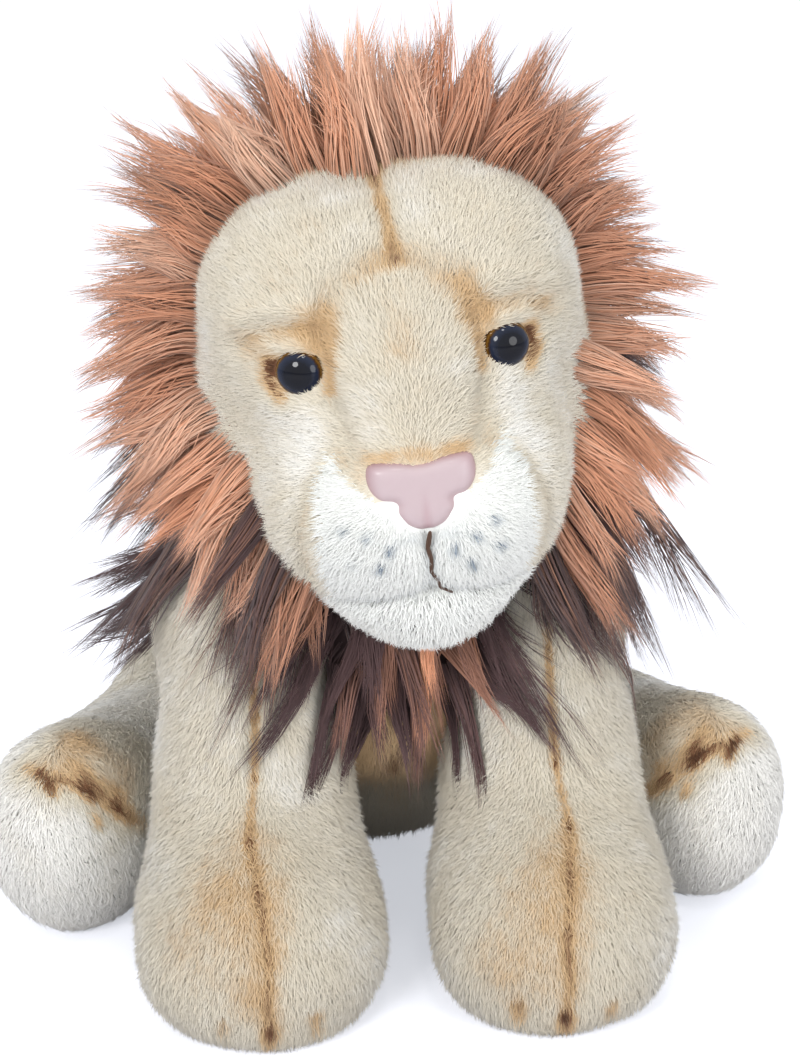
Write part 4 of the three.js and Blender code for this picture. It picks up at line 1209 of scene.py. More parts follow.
class LION_OT_mane(bpy.types.Operator):
    """Comb the mane: crown, two sides and the dark back, in pointed locks"""

    bl_idname = "lion.mane"
    bl_label = "Mane"

    def execute(self, context):
        mane, dyes = context.scene.lion_mane, context.scene.lion_colours
        cover = head_cover(None, 90, 120, proud=0.4)
        lengths = {"crown": mane.crown, "left": mane.sides, "right": mane.sides * 1.08, "back": mane.back}
        for number, (kind, size) in enumerate(lengths.items()):
            rng = np.random.default_rng(40 + number)
            back = kind == "back"
            points, quads, tris, normals = cover.panel(mane_part(kind))
            roots, ups = spaced_roots(points, quads, tris, normals, BACK_GAP if back else FRONT_GAP, rng)
            way = mane_way(roots, ups, kind)
            sizes = size / METRE * rng.uniform(0.74, 1.14, len(roots))
            if back:
                rusty = ramp(roots[:, 1], MANE_SPLIT + 10, MANE_SPLIT)
                tone = 0.3 + 0.1 * ripple(roots, 25, 9) + 0.5 * rusty
            else:
                tone, sizes = self.rust_locks(roots, sizes, rng)
            fibres = Fibres()
            fibres.skin(from_head(points), quads, tris, turn_head(normals), np.full(len(points), 0.4), rng)
            grow_locks(
                fibres, from_head(roots), turn_head(ups), turn_head(way), sizes, tone, rng, push=off_the_body,
                droop=0.1 if kind == "crown" else 0.2,
            )
            slot, material = ("fur_dark", dark_pile(dyes)) if back else ("fur_rust", mane_pile(dyes))
            place_piece(fibres.mesh(f"mane_{kind}_locks"), "head", f"mane_{kind}", slot, material)
        self.hem_locks(dark_pile(dyes), cover)
        return {"FINISHED"}

    def rust_locks(self, roots, sizes, rng):
        """Tones and lengths of the front locks, with dark and longer ones under the jaw."""
        turn, y = turn_round(roots), roots[:, 1]
        low = ramp(turn, 92, 142)
        tone = 0.6 + 0.16 * ripple(roots, 26, 12) + rng.normal(size=len(roots)) * 0.06
        # Locks that start further back are darker, as painted shade under the outer locks, and lower locks
        # are darker too
        tone = tone - 0.1 * ramp(y, FACE_BACK, FACE_BACK + 32) - 0.1 * low
        under = (turn > UNDER_JAW_TURN) & (rng.random(len(roots)) < np.where(y > -26, 0.8, 0.3))
        sizes = sizes * np.where(under, 1.5, 1) * (1 + 0.06 * low) * np.where(y < FACE_BACK - 6, 0.8, 1)
        return np.where(under, 0.06, tone), sizes

    def hem_locks(self, dark, cover):
        """Dark locks that hang out from behind the cheeks."""
        rng = np.random.default_rng(48)
        fibres = Fibres()
        roots, ups = spaced_roots(*cover.panel(below_mane), HEM_GAP, rng)
        way = unit_rows(row(len(roots), np.sign(roots[:, 0]) * 0.8, 0.0, -0.72))
        way = unit_rows(way + rng.normal(size=way.shape) * 0.14)
        sizes = np.where(roots[:, 0] < 0, HEM_LEFT, HEM_RIGHT) * rng.uniform(0.8, 1.1, len(roots))
        tone = 0.3 + rng.normal(size=len(roots)) * 0.06
        grow_locks(
            fibres, from_head(roots), turn_head(ups), turn_head(way), sizes, tone, rng, push=off_the_body,
            dense=0.7, fork=3.0, loose=0.6,
        )
        place_piece(fibres.mesh("mane_hem_locks"), "head", "mane_back", "fur_dark", dark)


class LION_OT_ears(bpy.types.Operator):
    """Shape the two small cupped ears that stand in the mane"""

    bl_idname = "lion.ears"
    bl_label = "Ears"

    HALF = [12.4, 3.6, 14.4]
    OUT, BACK, UP = 38, 8, 58
    LEAN, PILE = 32, 5.0

    def execute(self, context):
        shape, faces = self.cupped()
        for side, sign in SIDES.items():
            points = shape @ turn_y(self.LEAN * sign).T + [sign * self.OUT, self.BACK, self.UP]
            outside = HEAD.distance(points) > 0.5
            used, quads, tris = part_of(len(points), *faces, *[outside[f].all(1) for f in faces])
            points = points[used]
            skin = points, quads, tris, point_normals(points, quads, tris)

            def flow(p):
                return row(len(p), sign * 0.3, 0.2, 1.0)

            mesh = coat(
                f"ear_{side}_plush", skin, flow, self.PILE, lambda p: 0.52 + ripple(p, 12, 5) * 0.08,
                55 + sign, place=from_head, turn=turn_head,
            )
            place_piece(mesh, "head", f"ear_{side}", "fur_rust", mane_pile(context.scene.lion_colours))
        return {"FINISHED"}

    def cupped(self):
        """A flat egg that is hollowed at the front, round its own middle."""
        u = np.linspace(0, math.pi, 30)[1:-1]
        v = np.linspace(0, 2 * math.pi, 40, endpoint=False)
        uu, vv = (m.ravel() for m in np.meshgrid(u, v, indexing="ij"))
        ball = np.stack([np.sin(uu) * np.cos(vv), np.sin(uu) * np.sin(vv), np.cos(uu)], 1)
        ball = np.vstack([[0, 0, 1], ball, [0, 0, -1]])
        shape = ball * self.HALF
        cup = np.exp(-((shape[:, 0] / 7) ** 2) - ((shape[:, 2] - 1) / 9) ** 2)
        shape[:, 1] += np.where(ball[:, 1] < 0, 1.6, 0.4) * cup
        return shape, [faces[:, ::-1] for faces in grid_faces(len(u), len(v))]


# Eyes, nose and mouth


def seat_of(x, z, sink):
    """A point on the face and the way that it looks, sunk by a depth."""
    start = np.array([[x, HEAD.start[1], z]])
    spot = HEAD.surface(start, np.array([[0.0, -1, 0]]))
    way = unit_rows(HEAD.normal(spot) + [[0, -1, 0]])[0]
    return spot[0] - way * sink, way


def frame_on(way):
    """The side and the up that go with a way."""
    side = unit_rows(np.cross([0, 0, 1.0], way)[None])[0]
    return side, np.cross(way, side)


def stood(points, at, way):
    """Points of an upright piece that now stands at a place and looks along a way."""
    side, up = frame_on(way)
    return at + points[:, :1] * side + points[:, 1:2] * up + points[:, 2:] * way


def turned_piece(profile, segments):
    """A closed turned shape from (radius, height) rows that start and end on the axis."""
    profile = np.array(profile, float)
    turn = np.arange(segments) * 2 * math.pi / segments
    radius, height = profile[1:-1, :1], np.repeat(profile[1:-1, 1:], segments, 1)
    rings = np.stack([radius * np.cos(turn), radius * np.sin(turn), height], -1).reshape(-1, 3)
    points = np.vstack([[0, 0, profile[0, 1]], rings, [0, 0, profile[-1, 1]]])
    return points, grid_faces(len(radius), segments)


def eye_material(dyes):
    """A wide black pupil that turns navy towards its rim as a painted reflection, and a thin iris with fine
    rays, under clear gloss.
    """
    material, tree, shader = plain_material("Eye Gloss", (0.01, 0.01, 0.012), 0.12, coat=0.45)
    reach, turn = map_places(tree, RING_MAP)
    spot = add_node(tree, "CombineXYZ", X=math_node(tree, "MULTIPLY", turn, 24.0), Y=reach)
    rays = grain(tree, 3.0, detail=3.0, places=spot.outputs[0])
    streak = math_node(tree, "MULTIPLY", math_node(tree, "SUBTRACT", rays, 0.5), 0.1)
    # The pupil's navy towards its rim is a painted reflection
    stops = [
        (0, (0.002, 0.002, 0.004)), (0.55, (0.003, 0.004, 0.009)), (0.82, (0.014, 0.02, 0.042)),
        (0.89, darker(dyes.iris, 0.3)), (0.93, dyes.iris), (0.97, darker(dyes.iris, 0.4)),
        (1, (0.02, 0.012, 0.008)),
    ]
    put(tree, shader["Base Color"], colour_ramp(tree, math_node(tree, "ADD", reach, streak), stops))
    shader["Coat Roughness"].default_value = 0.02
    shader["Specular IOR Level"].default_value = 0.05
    return material


class LION_OT_eyes(bpy.types.Operator):
    """Set the two domed eyes"""

    bl_idname = "lion.eyes"
    bl_label = "Eyes"

    RADIUS, DOME, RIM, SINK = 7.0, 5.2, 0.25, 1.4
    SHANK = [(0, -11), (1.6, -11), (2.2, -10.4), (2.2, -0.6), (2.6, 0)]

    def execute(self, context):
        material = eye_material(context.scene.lion_colours)
        arc = np.linspace(0, math.pi / 2, 20)[:-1]
        dome = [(self.RADIUS * math.cos(a), self.RIM + (self.DOME - self.RIM) * math.sin(a)) for a in arc]
        profile = [*self.SHANK, (self.RADIUS - 0.3, 0), *dome, (0, self.DOME)]
        points, faces = turned_piece(profile, 56)
        reach = np.hypot(points[:, 0], points[:, 1]) / self.RADIUS
        turn = np.arctan2(points[:, 1], points[:, 0]) / (2 * math.pi) + 0.5
        for side, sign in SIDES.items():
            placed = stood(points, *seat_of(sign * EYE_AT[0], EYE_AT[1], self.SINK))
            quads, tris = outward(placed, *faces)
            places = np.stack([reach, turn], 1)
            mesh = make_mesh(f"eye_{side}_dome", from_head(placed), quads, tris, places, title=RING_MAP)
            place_piece(mesh, "head", f"eye_{side}", "eye_gloss", material)
        return {"FINISHED"}


def vinyl_material(dyes):
    """Soft satin vinyl with fine pores, darker and redder at the rim and in the dents as painted shade."""
    material, tree, shader = plain_material("Nose Vinyl", dyes.nose, 0.42, coat=0.1)
    pores = grain(tree, 420.0, detail=4.0)
    edge = add_node(tree, "Attribute")
    edge.attribute_name = "edge"
    rim_shade_and_pores = math_node(tree, "ADD", edge.outputs["Fac"], math_node(tree, "MULTIPLY", pores, 0.12), clamp=True)
    mix = add_node(tree, "Mix")
    mix.data_type = "RGBA"
    share, *_, first, second = mix.inputs[:8]
    put(tree, share, rim_shade_and_pores)
    first.default_value = (*dyes.nose, 1)
    second.default_value = (*[c * k for c, k in zip(dyes.nose, (0.82, 0.6, 0.62))], 1)
    put(tree, shader["Base Color"], mix.outputs[2])
    put(tree, shader["Roughness"], gained(tree, pores, 0.2, 0.34))
    bump_onto(tree, shader, pores, 0.12, 0.0003)
    return material


def smooth_loop(points, each):
    """A closed smooth curve through points."""
    p = np.array(points, float)
    n = len(p)
    return np.vstack([smooth_curve([p[i - 1], p[i], p[(i + 1) % n], p[(i + 2) % n]], each) for i in range(n)])


class LION_OT_nose(bpy.types.Operator):
    """Mould the soft nose with its nostril dents"""

    bl_idname = "lion.nose"
    bl_label = "Nose"

    THICK, RINGS, TILT = 5.0, 22, -8
    NOSTRIL_OUT, NOSTRIL_UP = 9.6, -1.6
    HEART = np.array([0, 1.2])

    def execute(self, context):
        middle = NOSE_TOP - NOSE_HEIGHT / 2
        front, _ = seat_of(0, middle, 0)
        loop = smooth_loop(NOSE_OUTLINE, 8) * [NOSE_WIDTH - 0.4, NOSE_HEIGHT - 0.6] + [0, NOSE_HEIGHT / 2]
        many = len(loop)
        top, edge = self.dented(*self.swell(loop))
        points = np.vstack([[*self.HEART, 0], np.column_stack([loop, np.zeros(many)]), top])
        points = np.vstack([points, [*self.HEART, top[-many:, 2].mean()]])
        edge = np.concatenate([[0.7], np.full(many, 0.7), edge, [0]])
        c, s = math.cos(math.radians(self.TILT)), math.sin(math.radians(self.TILT))
        x, z, y = points[:, 0], points[:, 1], -points[:, 2]
        placed = np.column_stack([x, y * c - z * s, y * s + z * c]) + [0, front[1] + self.THICK / 2, middle]
        quads, tris = outward(placed, *grid_faces(self.RINGS + 1, many))
        mesh = make_mesh("nose_leather", from_head(placed), quads, tris)
        # The edge attribute is painted shade: darkest at the back and the rim, and in the nostril dents and
        # the groove
        shade = np.clip(edge, 0, 1).astype(np.float32)
        mesh.attributes.new("edge", "FLOAT", "POINT").data.foreach_set("value", shade)
        place_piece(mesh, "head", "nose", "nose_vinyl", vinyl_material(context.scene.lion_colours))
        return {"FINISHED"}

    def swell(self, loop):
        """The nose's front in shrinking rings, and how near its edge each point is, which sets the painted
        shade at its rim.
        """
        layers, edge = [], []
        for k in range(self.RINGS):
            s = 1 - (k / self.RINGS) ** 1.3
            crown = self.THICK * (1 - 0.98 * s**6) ** 0.5 - 0.9 * (1 - s) * 0.2
            layers.append(np.column_stack([(loop - self.HEART) * s + self.HEART, np.full(len(loop), crown)]))
            edge.append(np.full(len(loop), max(0.0, (s - 0.72) / 0.28) ** 2 * 0.75))
        return np.vstack(layers), np.concatenate(edge)

    def dented(self, top, edge):
        """The front with its two nostrils and the groove below them, which deepen the painted shade."""
        for sign in SIDES.values():
            out, up = top[:, 0] - sign * self.NOSTRIL_OUT, top[:, 1] - self.NOSTRIL_UP
            dent = np.exp(-((out / 2.7) ** 2) - (up / 1.9) ** 2)
            top[:, 2] -= dent * 1.7
            edge = edge + dent * 0.55
        groove = np.exp(-((top[:, 0] / 1.3) ** 2)) * ramp(top[:, 1], 3, -7)
        top[:, 2] -= groove * 0.9
        return top, edge + groove * 0.35


def thread_material(dyes):
    """Twisted embroidery thread."""
    tint = darker(dyes.brown, 0.35)
    material, tree, shader = plain_material("Mouth Thread", tint, 0.6)
    twist = add_node(tree, "TexWave", Scale=900.0, Distortion=1.5, Vector=own_places(tree)).outputs["Fac"]
    put(tree, shader["Base Color"], scale_colour(tree, shade_of(tree, tint), gained(tree, twist, 0.9, 0.6)))
    bump_onto(tree, shader, twist, 0.5, 0.0004)
    return material


class LION_OT_mouth(bpy.types.Operator):
    """Sew the mouth line in overlapping stitches"""

    bl_idname = "lion.mouth"
    bl_label = "Mouth Stitches"

    LINE = [(0, -24.6), (-0.3, -29), (-0.2, -33.4), (0.2, -37.6), (1.1, -41.4), (2.7, -44.6), (4.7, -46.8)]
    OVERLAP = 0.9

    def execute(self, context):
        spots = [seat_of(x, z, -1.6)[0] for x, z in self.LINE]
        all_points, all_quads, all_tris, count = [], [], [], 0
        arc = np.linspace(-math.pi / 2, math.pi / 2, 13)
        for i, (start, end) in enumerate(zip(spots[:-1], spots[1:])):
            lean = np.array([0.35 * (-1) ** i, 0, 0])
            a, b = start + lean, end - lean
            thick, half = 0.75 - 0.06 * i, np.linalg.norm(b - a) / 2 + self.OVERLAP
            profile = [(thick * math.cos(t) ** 0.6 if abs(t) < 1.57 else 0, half * math.sin(t)) for t in arc]
            points, faces = turned_piece(profile, 14)
            placed = stood(points, (a + b) / 2, unit_rows((b - a)[None])[0])
            quads, tris = outward(placed, *faces)
            all_points.append(placed)
            all_quads.append(quads + count)
            all_tris.append(tris + count)
            count += len(placed)
        stitches = [from_head(np.vstack(all_points)), np.vstack(all_quads), np.vstack(all_tris)]
        material = thread_material(context.scene.lion_colours)
        place_piece(make_mesh("mouth_stitches", *stitches), "head", "mouth_stitch", "thread_brown", material)
        return {"FINISHED"}


# Legs

# Paths and marks are given for the right side
LEG_SEAM = [
    (46, -112, 122), (46, -128, 92), (47, -131, 77), (49.5, -146, 63), (47.5, -160, 52), (45.5, -170, 36),
    (46.5, -172, 22), (45, -171, 8),
]
WRIST = [
    (76, -100, 62), (76, -124, 63), (62, -140, 66), (46, -146, 66), (30, -140, 65), (16, -124, 62),
    (14, -100, 60),
]
OUTER_TOE, INNER_TOE = [(60, -170, 12), (61, -167, 3)], [(31, -170, 14), (30, -168, 4)]
LEG_RELIEF = [(LEG_SEAM, 3.0, -1.8), (WRIST, 16.0, 3.4), (OUTER_TOE, 3.2, -1.8), (INNER_TOE, 3.2, -1.8)]
LEG_MARKS = [
    (LEG_SEAM[:3], 1.6, 0.5),
    (LEG_SEAM[2:4], 1.6, 0.3),
    (LEG_SEAM[3:], 2.0, 0.27),
    (LEG_SEAM[3:], 9.0, 0.12),
    # The wrist mark and the broad mark over the paw's middle are airbrushed tan, with painted shade in the
    # wrist's crease and the paw's middle
    (WRIST, 9.0, 0.06),
    ([(46, -158, 46)], 26.0, 0.12),
    (OUTER_TOE, 2.6, 0.3),
    ([(46, -171, 10), (46, -168, 2)], 3.0, 0.4),
    (INNER_TOE, 2.8, 0.42),
]
# The tan wash lies on the inner side of the right paw and on the outer side of the left one
PAW_WASH = {"left": [(-63, -160, 44), (-60, -166, 26)], "right": [(31, -166, 44), (30, -166, 26)]}


class LION_OT_front_legs(bpy.types.Operator):
    """Sew the two front legs: outer and inner panels and the paw soles"""

    bl_idname = "lion.front_legs"
    bl_label = "Front Legs"

    def execute(self, context):
        size = context.scene.lion_pile.legs / METRE
        material = cream_plush(context.scene.lion_colours)
        for side, sign in SIDES.items():
            cover = self.cover(side, sign)

            def flow(points):
                x, _, z = points.T
                out = (x - sign * LEG_MIDDLE) * 0.012
                return row(len(points), out, -0.12 - 0.6 * ramp(z, 74, 50), -1.0)

            def panel(outer):
                return lambda points: (points[:, 2] >= SOLE) & ((points[:, 0] * sign >= LEG_MIDDLE) == outer)

            for part, node, keep, long, dense, seed in (
                ("leg_outer", "leg_outer_panel", panel(True), size, 0.8, 69),
                ("leg_inner", "leg_inner_panel", panel(False), size, 0.8, 69),
                ("paw_sole", "paw_sole", lambda points: points[:, 2] < SOLE, SHORT_PILE, 0.16, 68),
            ):
                plush_panel(
                    f"front_{side}_{part}_plush", cover, keep, f"front_{side}_leg", f"front_{side}_{node}",
                    material, long, flow, seed + sign, dense=dense, wide=1.1,
                )
        return {"FINISHED"}

    def cover(self, side, sign):
        relief, marks = on_side(LEG_RELIEF, sign), on_side(LEG_MARKS, sign) + [(PAW_WASH[side], 18.0, 0.15)]
        cover = Cover(
            FORELEG[side], 110, 120, 0.28,
            lambda points: 0.8 + summed(points, relief) + ripple(points, 30, 7 + sign) * 0.5,
        )
        cover.ease(lambda points: soft_spot(points, sign_x(WRIST, sign), 15.0), 90)
        cover.rest()

        def tone(points):
            tan = 0.22 + ripple(points, 30, 3 + sign) * 0.06 + ripple(points, 8, 9) * 0.03
            return np.clip(tan + summed(points, marks), 0, 1)

        return cover.finish(tone)


HIND_TOES = [
    [(115, -93, 62), (110, -97, 57)], [(108, -96, 62), (102, -97, 60), (97, -98, 55)],
    [(97, -101, 52), (95, -100, 46)], [(92, -94, 60), (88, -93, 53)],
]
HIND_ARC = [(119, -88, 61), (112, -94, 61), (103, -96, 60), (95, -97, 56), (88, -94, 49)]
HIND_SEAM = [(102, -92, 66), (92, -98, 52), (80, -89, 38)]
HIND_RELIEF = [*[(toe, 3.2, -2.0) for toe in HIND_TOES], (HIND_SEAM, 3.0, -1.2)]
HIND_MARKS = [
    *[(toe, 2.1, 0.6) for toe in HIND_TOES],
    (HIND_ARC, 2.0, 0.24),
    (HIND_ARC, 8.0, 0.26),
    (HIND_SEAM, 2.8, 0.4),
    ([(102, -84, 66), (90, -86, 58)], 14.0, 0.26),
    ([(100, -76, 68), (86, -72, 62)], 17.0, 0.2),
]


class LION_OT_hind_legs(bpy.types.Operator):
    """Sew the two hind legs: outer and inner panels and the fluffy toes"""

    bl_idname = "lion.hind_legs"
    bl_label = "Hind Legs"

    def execute(self, context):
        size = context.scene.lion_pile.feet / METRE
        material = cream_plush(context.scene.lion_colours)
        for side, sign in SIDES.items():
            form = HINDLEG[side]
            cover = self.cover(form, sign)
            along = form.end - form.start
            along[2] = 0
            along = along / np.linalg.norm(along)
            crest = np.array([along[1], -along[0], 0]) * sign

            def past_ankle(points):
                return (points - form.end) @ along

            def panel(inner):
                def keep(points):
                    return (past_ankle(points) < 0) & (((points - form.start) @ crest >= 0) == inner)

                return keep

            def flow(points):
                out = unit_rows((points - form.end) - np.outer(past_ankle(points), along) * 0.6)
                toes = (past_ankle(points) > 0)[:, None]
                return np.where(toes, out * 0.6 + [0, 0, -0.7], along * 0.8 + [0, 0, -0.5])

            for part, keep, seed in (
                ("leg_outer", panel(False), 79),
                ("leg_inner", panel(True), 79),
                ("toe", lambda points: past_ankle(points) >= 0, 73),
            ):
                name = f"hind_{side}_{part}"
                plush_panel(
                    f"{name}_plush", cover, keep, f"hind_{side}_leg", f"{name}_panel", material, size, flow,
                    seed + sign, lean=1.16, wild=0.36, dense=0.95, bent=True,
                )
        return {"FINISHED"}

    def cover(self, form, sign):
        relief, marks = on_side(HIND_RELIEF, sign), on_side(HIND_MARKS, sign)

        def from_foot(points):
            return np.linalg.norm(points - form.end, axis=1)

        def swell(points):
            dents = self.neck_fill(points, form, sign) + summed(points, relief)
            return dents + ripple(points, 28, 4 + sign) * 0.6

        def tone(points):
            heel = 0.03 + 0.24 * ramp(from_foot(points), 30, 90)
            return np.clip(heel + ripple(points, 20, 2 + sign) * 0.05 + summed(points, marks), 0, 1)

        cover = Cover(form, 100, 110, 0.3, swell)
        cover.ease(lambda points: ramp(from_foot(points), 22, 34), 60)
        cover.rest()
        return cover.finish(tone)

    def neck_fill(self, points, form, sign):
        """Smooths thigh, shin and foot into one another on the side that shows."""
        outside = unit_rows(np.cross([0, 0, 1.0], (form.end - form.start) * sign)[None])[0] * -1
        total = np.zeros(len(points))
        for a, b, depth in zip(form.at[:-1], form.at[1:], (5.0, 3.0)):
            middle = points - (a + b) / 2
            from_middle = middle @ ((b - a) / np.linalg.norm(b - a))
            shown = np.clip(0.55 + (middle @ outside) / 30, 0, 1)
            total += depth * np.exp(-((from_middle / 15) ** 2)) * shown
        return total


# Torso, bib and collar

BELLY_SEAM, BACK_SEAM = [(0, -80, 10), (0, -95, 60), (0, -108, 100)], [(0, 52, 40), (0, 40, 90)]
TORSO_RELIEF = [(BELLY_SEAM, 2.6, -1.4), (BACK_SEAM, 2.6, -1.2)]
# The broad mark low on the chest, between the front legs, is mostly painted shade under the bib and between
# the legs
TORSO_MARKS = [(BELLY_SEAM, 3.0, 0.22), (BACK_SEAM, 3.0, 0.14), ([(0, -100, 60), (0, -110, 90)], 34.0, 0.34)]
BELLY_HALF, BELLY_BACK, BIB_BACK = 20.9, -28, -66.96
CAPE_FRONT, CAPE_BACK = np.array([0, -102.6, 96.72]), np.array([0, -5.4, 124.8])
CAPE_LEFT, CAPE_RIGHT, CAPE_DOWN = 58.0, 46.0, 34.0
CHIN_TUFT = [(8, -106, 130), (8, -112, 112)]
LIMB_STEPS = (0, 6, 12, 18)


def free_of_limbs(points):
    """Which points stay out of every place that a leg can take."""
    near = np.full(len(points), 1e9)
    for side, sign in SIDES.items():
        fore, hind = FORELEG[side], HINDLEG[side]
        for degrees in LIMB_STEPS:
            back = turned_about(points, fore.end, [1, 0, 0], degrees)
            near = np.minimum(near, fore.distance(back))
            back = turned_about(points, hind.start, [0, 0, 1], -sign * degrees)
            near = np.minimum(near, hind.distance(back))
    return near > 0.5


def above_cape(points):
    """Which points lie above the lower edge of the bib and the cape."""
    slope = (CAPE_BACK - CAPE_FRONT) / np.linalg.norm(CAPE_BACK - CAPE_FRONT)
    return (points - CAPE_FRONT) @ np.array([0, -slope[2], slope[1]]) > 0


def torso_cover(tone=None):
    """The torso's skin, hollowed for the neck's socket."""
    cover = Cover(
        TORSO, 110, 130, 0.3,
        lambda points: 0.8 + summed(points, TORSO_RELIEF) + ripple(points, 36, 15) * 0.7,
    )
    for _ in range(60):
        inside = np.linalg.norm(cover.points - HEAD_AT, axis=1) < SOCKET_RADIUS
        if not inside.any():
            break
        cover.points[inside] += NECK_DOWN
    cover.rest()
    return cover.finish(tone)


def body_tone(points):
    return np.clip(0.3 + ripple(points, 30, 31) * 0.07 + summed(points, TORSO_MARKS), 0, 1)


def body_flow(points):
    return row(len(points), points[:, 0] * 0.003, 0.12, -1.0)


def body_panel(kind):
    """Which points belong to a panel of the body."""

    def keep(points):
        x, y, z = points.T
        label = np.where(x < 0, "back_left", "back_right")
        label[(np.abs(x) < BELLY_HALF) & (y < BELLY_BACK)] = "belly"
        label[z <= SOLE] = "seat"
        return (label == kind) & ~above_cape(points) & free_of_limbs(points)

    return keep


class LION_OT_torso(bpy.types.Operator):
    """Sew the body: two back panels, the belly and the seat"""

    bl_idname = "lion.torso"
    bl_label = "Body"

    def execute(self, context):
        material = cream_plush(context.scene.lion_colours)
        cover = torso_cover(body_tone)
        for number, kind in enumerate(("belly", "back_left", "back_right", "seat")):
            size = SHORT_PILE if kind == "seat" else context.scene.lion_pile.body / METRE
            plush_panel(
                f"{kind}_plush", cover, body_panel(kind), "torso", f"{kind}_panel", material, size, body_flow,
                80 + number, dense=0.5, wide=1.2,
            )
        return {"FINISHED"}


class LION_OT_bib(bpy.types.Operator):
    """Comb the dark bib on the chest and the cape over the shoulders"""

    bl_idname = "lion.bib"
    bl_label = "Bib and Cape"

    def execute(self, context):
        cover = torso_cover()
        dark = dark_pile(context.scene.lion_colours)
        for node, comb, front, gap, seed in (
            ("chest_bib", self.bib, True, 6.0, 90), ("shoulder_cape", self.cape, False, 4.6, 91),
        ):
            rng = np.random.default_rng(seed)

            def keep(points):
                return above_cape(points) & free_of_limbs(points) & ((points[:, 1] < BIB_BACK) == front)

            skin = cover.panel(keep)
            fibres = Fibres()
            fibres.skin(*skin, np.full(len(skin[0]), 0.25), rng)
            roots, ups = spaced_roots(*skin, gap, rng)
            shown = np.linalg.norm(roots - HEAD_AT, axis=1) > SOCKET_RADIUS + 0.5
            roots, ups = roots[shown], ups[shown]
            way, sizes, tone = comb(roots, ups, rng)
            way = unit_rows(unit_rows(way) + rng.normal(size=way.shape) * 0.14)
            tone = tone + rng.normal(size=len(roots)) * 0.05
            grow_locks(
                fibres, roots, ups, way, sizes, tone, rng, push=off_the_body, spread=4.5, dense=0.6, fork=2.2,
                loose=0.5, gather=1.4,
            )
            place_piece(fibres.mesh(f"{node}_locks"), "torso", node, "fur_dark", dark)
        return {"FINISHED"}

    def bib(self, roots, ups, rng):
        """Down and forward, with a ginger tuft below the chin."""
        x, many = roots[:, 0], len(roots)
        sizes = bpy.context.scene.lion_mane.bib / METRE * rng.uniform(0.7, 1.1, many)
        sizes = sizes * np.where(rng.random(many) < 0.14, 1.35, 1)
        sizes = sizes * (1 + 0.3 * ramp(np.abs(x), 12, 24))
        ginger = soft_spot(roots, CHIN_TUFT, 11)
        tone = np.where(rng.random(many) < 0.06, 0.6, 0.21) + ginger * 0.65
        return row(many, x * 0.03, -0.52, -0.85), sizes * (1 - ginger * 0.2), tone

    def cape(self, roots, ups, rng):
        """Down the back, and out to the sides over the shoulders."""
        x, many = roots[:, 0], len(roots)
        way = row(many, x * 0.012, 0.35, -0.75) + ups * 0.4
        flank = (ramp(np.abs(x), 34, 42) * (roots[:, 1] < -20))[:, None]
        out = row(many, np.sign(x), -0.05, rng.uniform(-0.75, -0.1, many))
        way = way * (1 - flank) + out * flank
        sizes = np.where(flank[:, 0] > 0.3, np.where(x < 0, CAPE_LEFT, CAPE_RIGHT), CAPE_DOWN)
        return way, sizes * rng.uniform(0.8, 1.15, many), np.full(many, 0.3)


class LION_OT_collar(bpy.types.Operator):
    """Turn the ribbed cloth ring of the neck joint"""

    bl_idname = "lion.collar"
    bl_label = "Neck Collar"

    # Degrees from the neck's axis at the ring's two rims, and millimetres
    INNER, OUTER = 17.2, 38.8
    PLY, RIB, RIBS = 0.35, 0.22, 60

    def execute(self, context):
        side, up = frame_on(NECK_DOWN)
        angles = [math.radians(self.INNER + (self.OUTER - self.INNER) * k / 23) for k in range(24)]
        outline = [(a, COLLAR_HIGH - self.PLY) for a in angles]
        outline += [(a, COLLAR_LOW + self.PLY) for a in angles[::-1]]
        turn = np.linspace(0, 2 * math.pi, 120, endpoint=False)
        rib = self.RIB * np.sin(turn * self.RIBS)
        circle = np.cos(turn)[:, None] * side + np.sin(turn)[:, None] * up
        rings = [
            (circle * math.sin(a) + NECK_DOWN * math.cos(a)) * (reach + rib)[:, None] + HEAD_AT
            for a, reach in outline
        ]
        points = np.vstack(rings)
        n, m = len(outline), len(turn)
        i, j = (g.ravel() for g in np.meshgrid(np.arange(n), np.arange(m), indexing="ij"))
        after = (i + 1) % n
        quads = np.stack([i * m + j, i * m + (j + 1) % m, after * m + (j + 1) % m, after * m + j], 1)
        mesh = make_mesh("collar_cloth", points, *outward(points, quads, np.zeros((0, 3), int)))
        umber = context.scene.lion_colours.umber
        material, tree, shader = plain_material("Collar Cloth", umber, 0.9)
        woven_onto(tree, shader, umber, 700.0)
        place_piece(mesh, "neck", "neck_collar", "fur_dark", material)
        return {"FINISHED"}


# Tail

TAIL_ROOT = np.array([0, 49.0, 23.99])
TAIL_LONG, TAIL_RADIUS = 118, 8.0
# The tail's line, as shares of its length
TAIL_SHARES = [
    (0, 0, 0), (0.02, 0.16, -0.06), (0.1, 0.3, -0.11), (0.28, 0.38, -0.125), (0.46, 0.35, -0.125),
]
TUFT_LONG, TUFT_RADIUS, TUFT_GAP = 26, 9, 4.2


def open_curve(points, each):
    """A smooth curve through points, from the first to the last."""
    p = np.vstack([2 * points[0] - points[1], points, 2 * points[-1] - points[-2]])
    return np.vstack([*[smooth_curve(p[i : i + 4], each) for i in range(len(p) - 3)], points[-1:]])


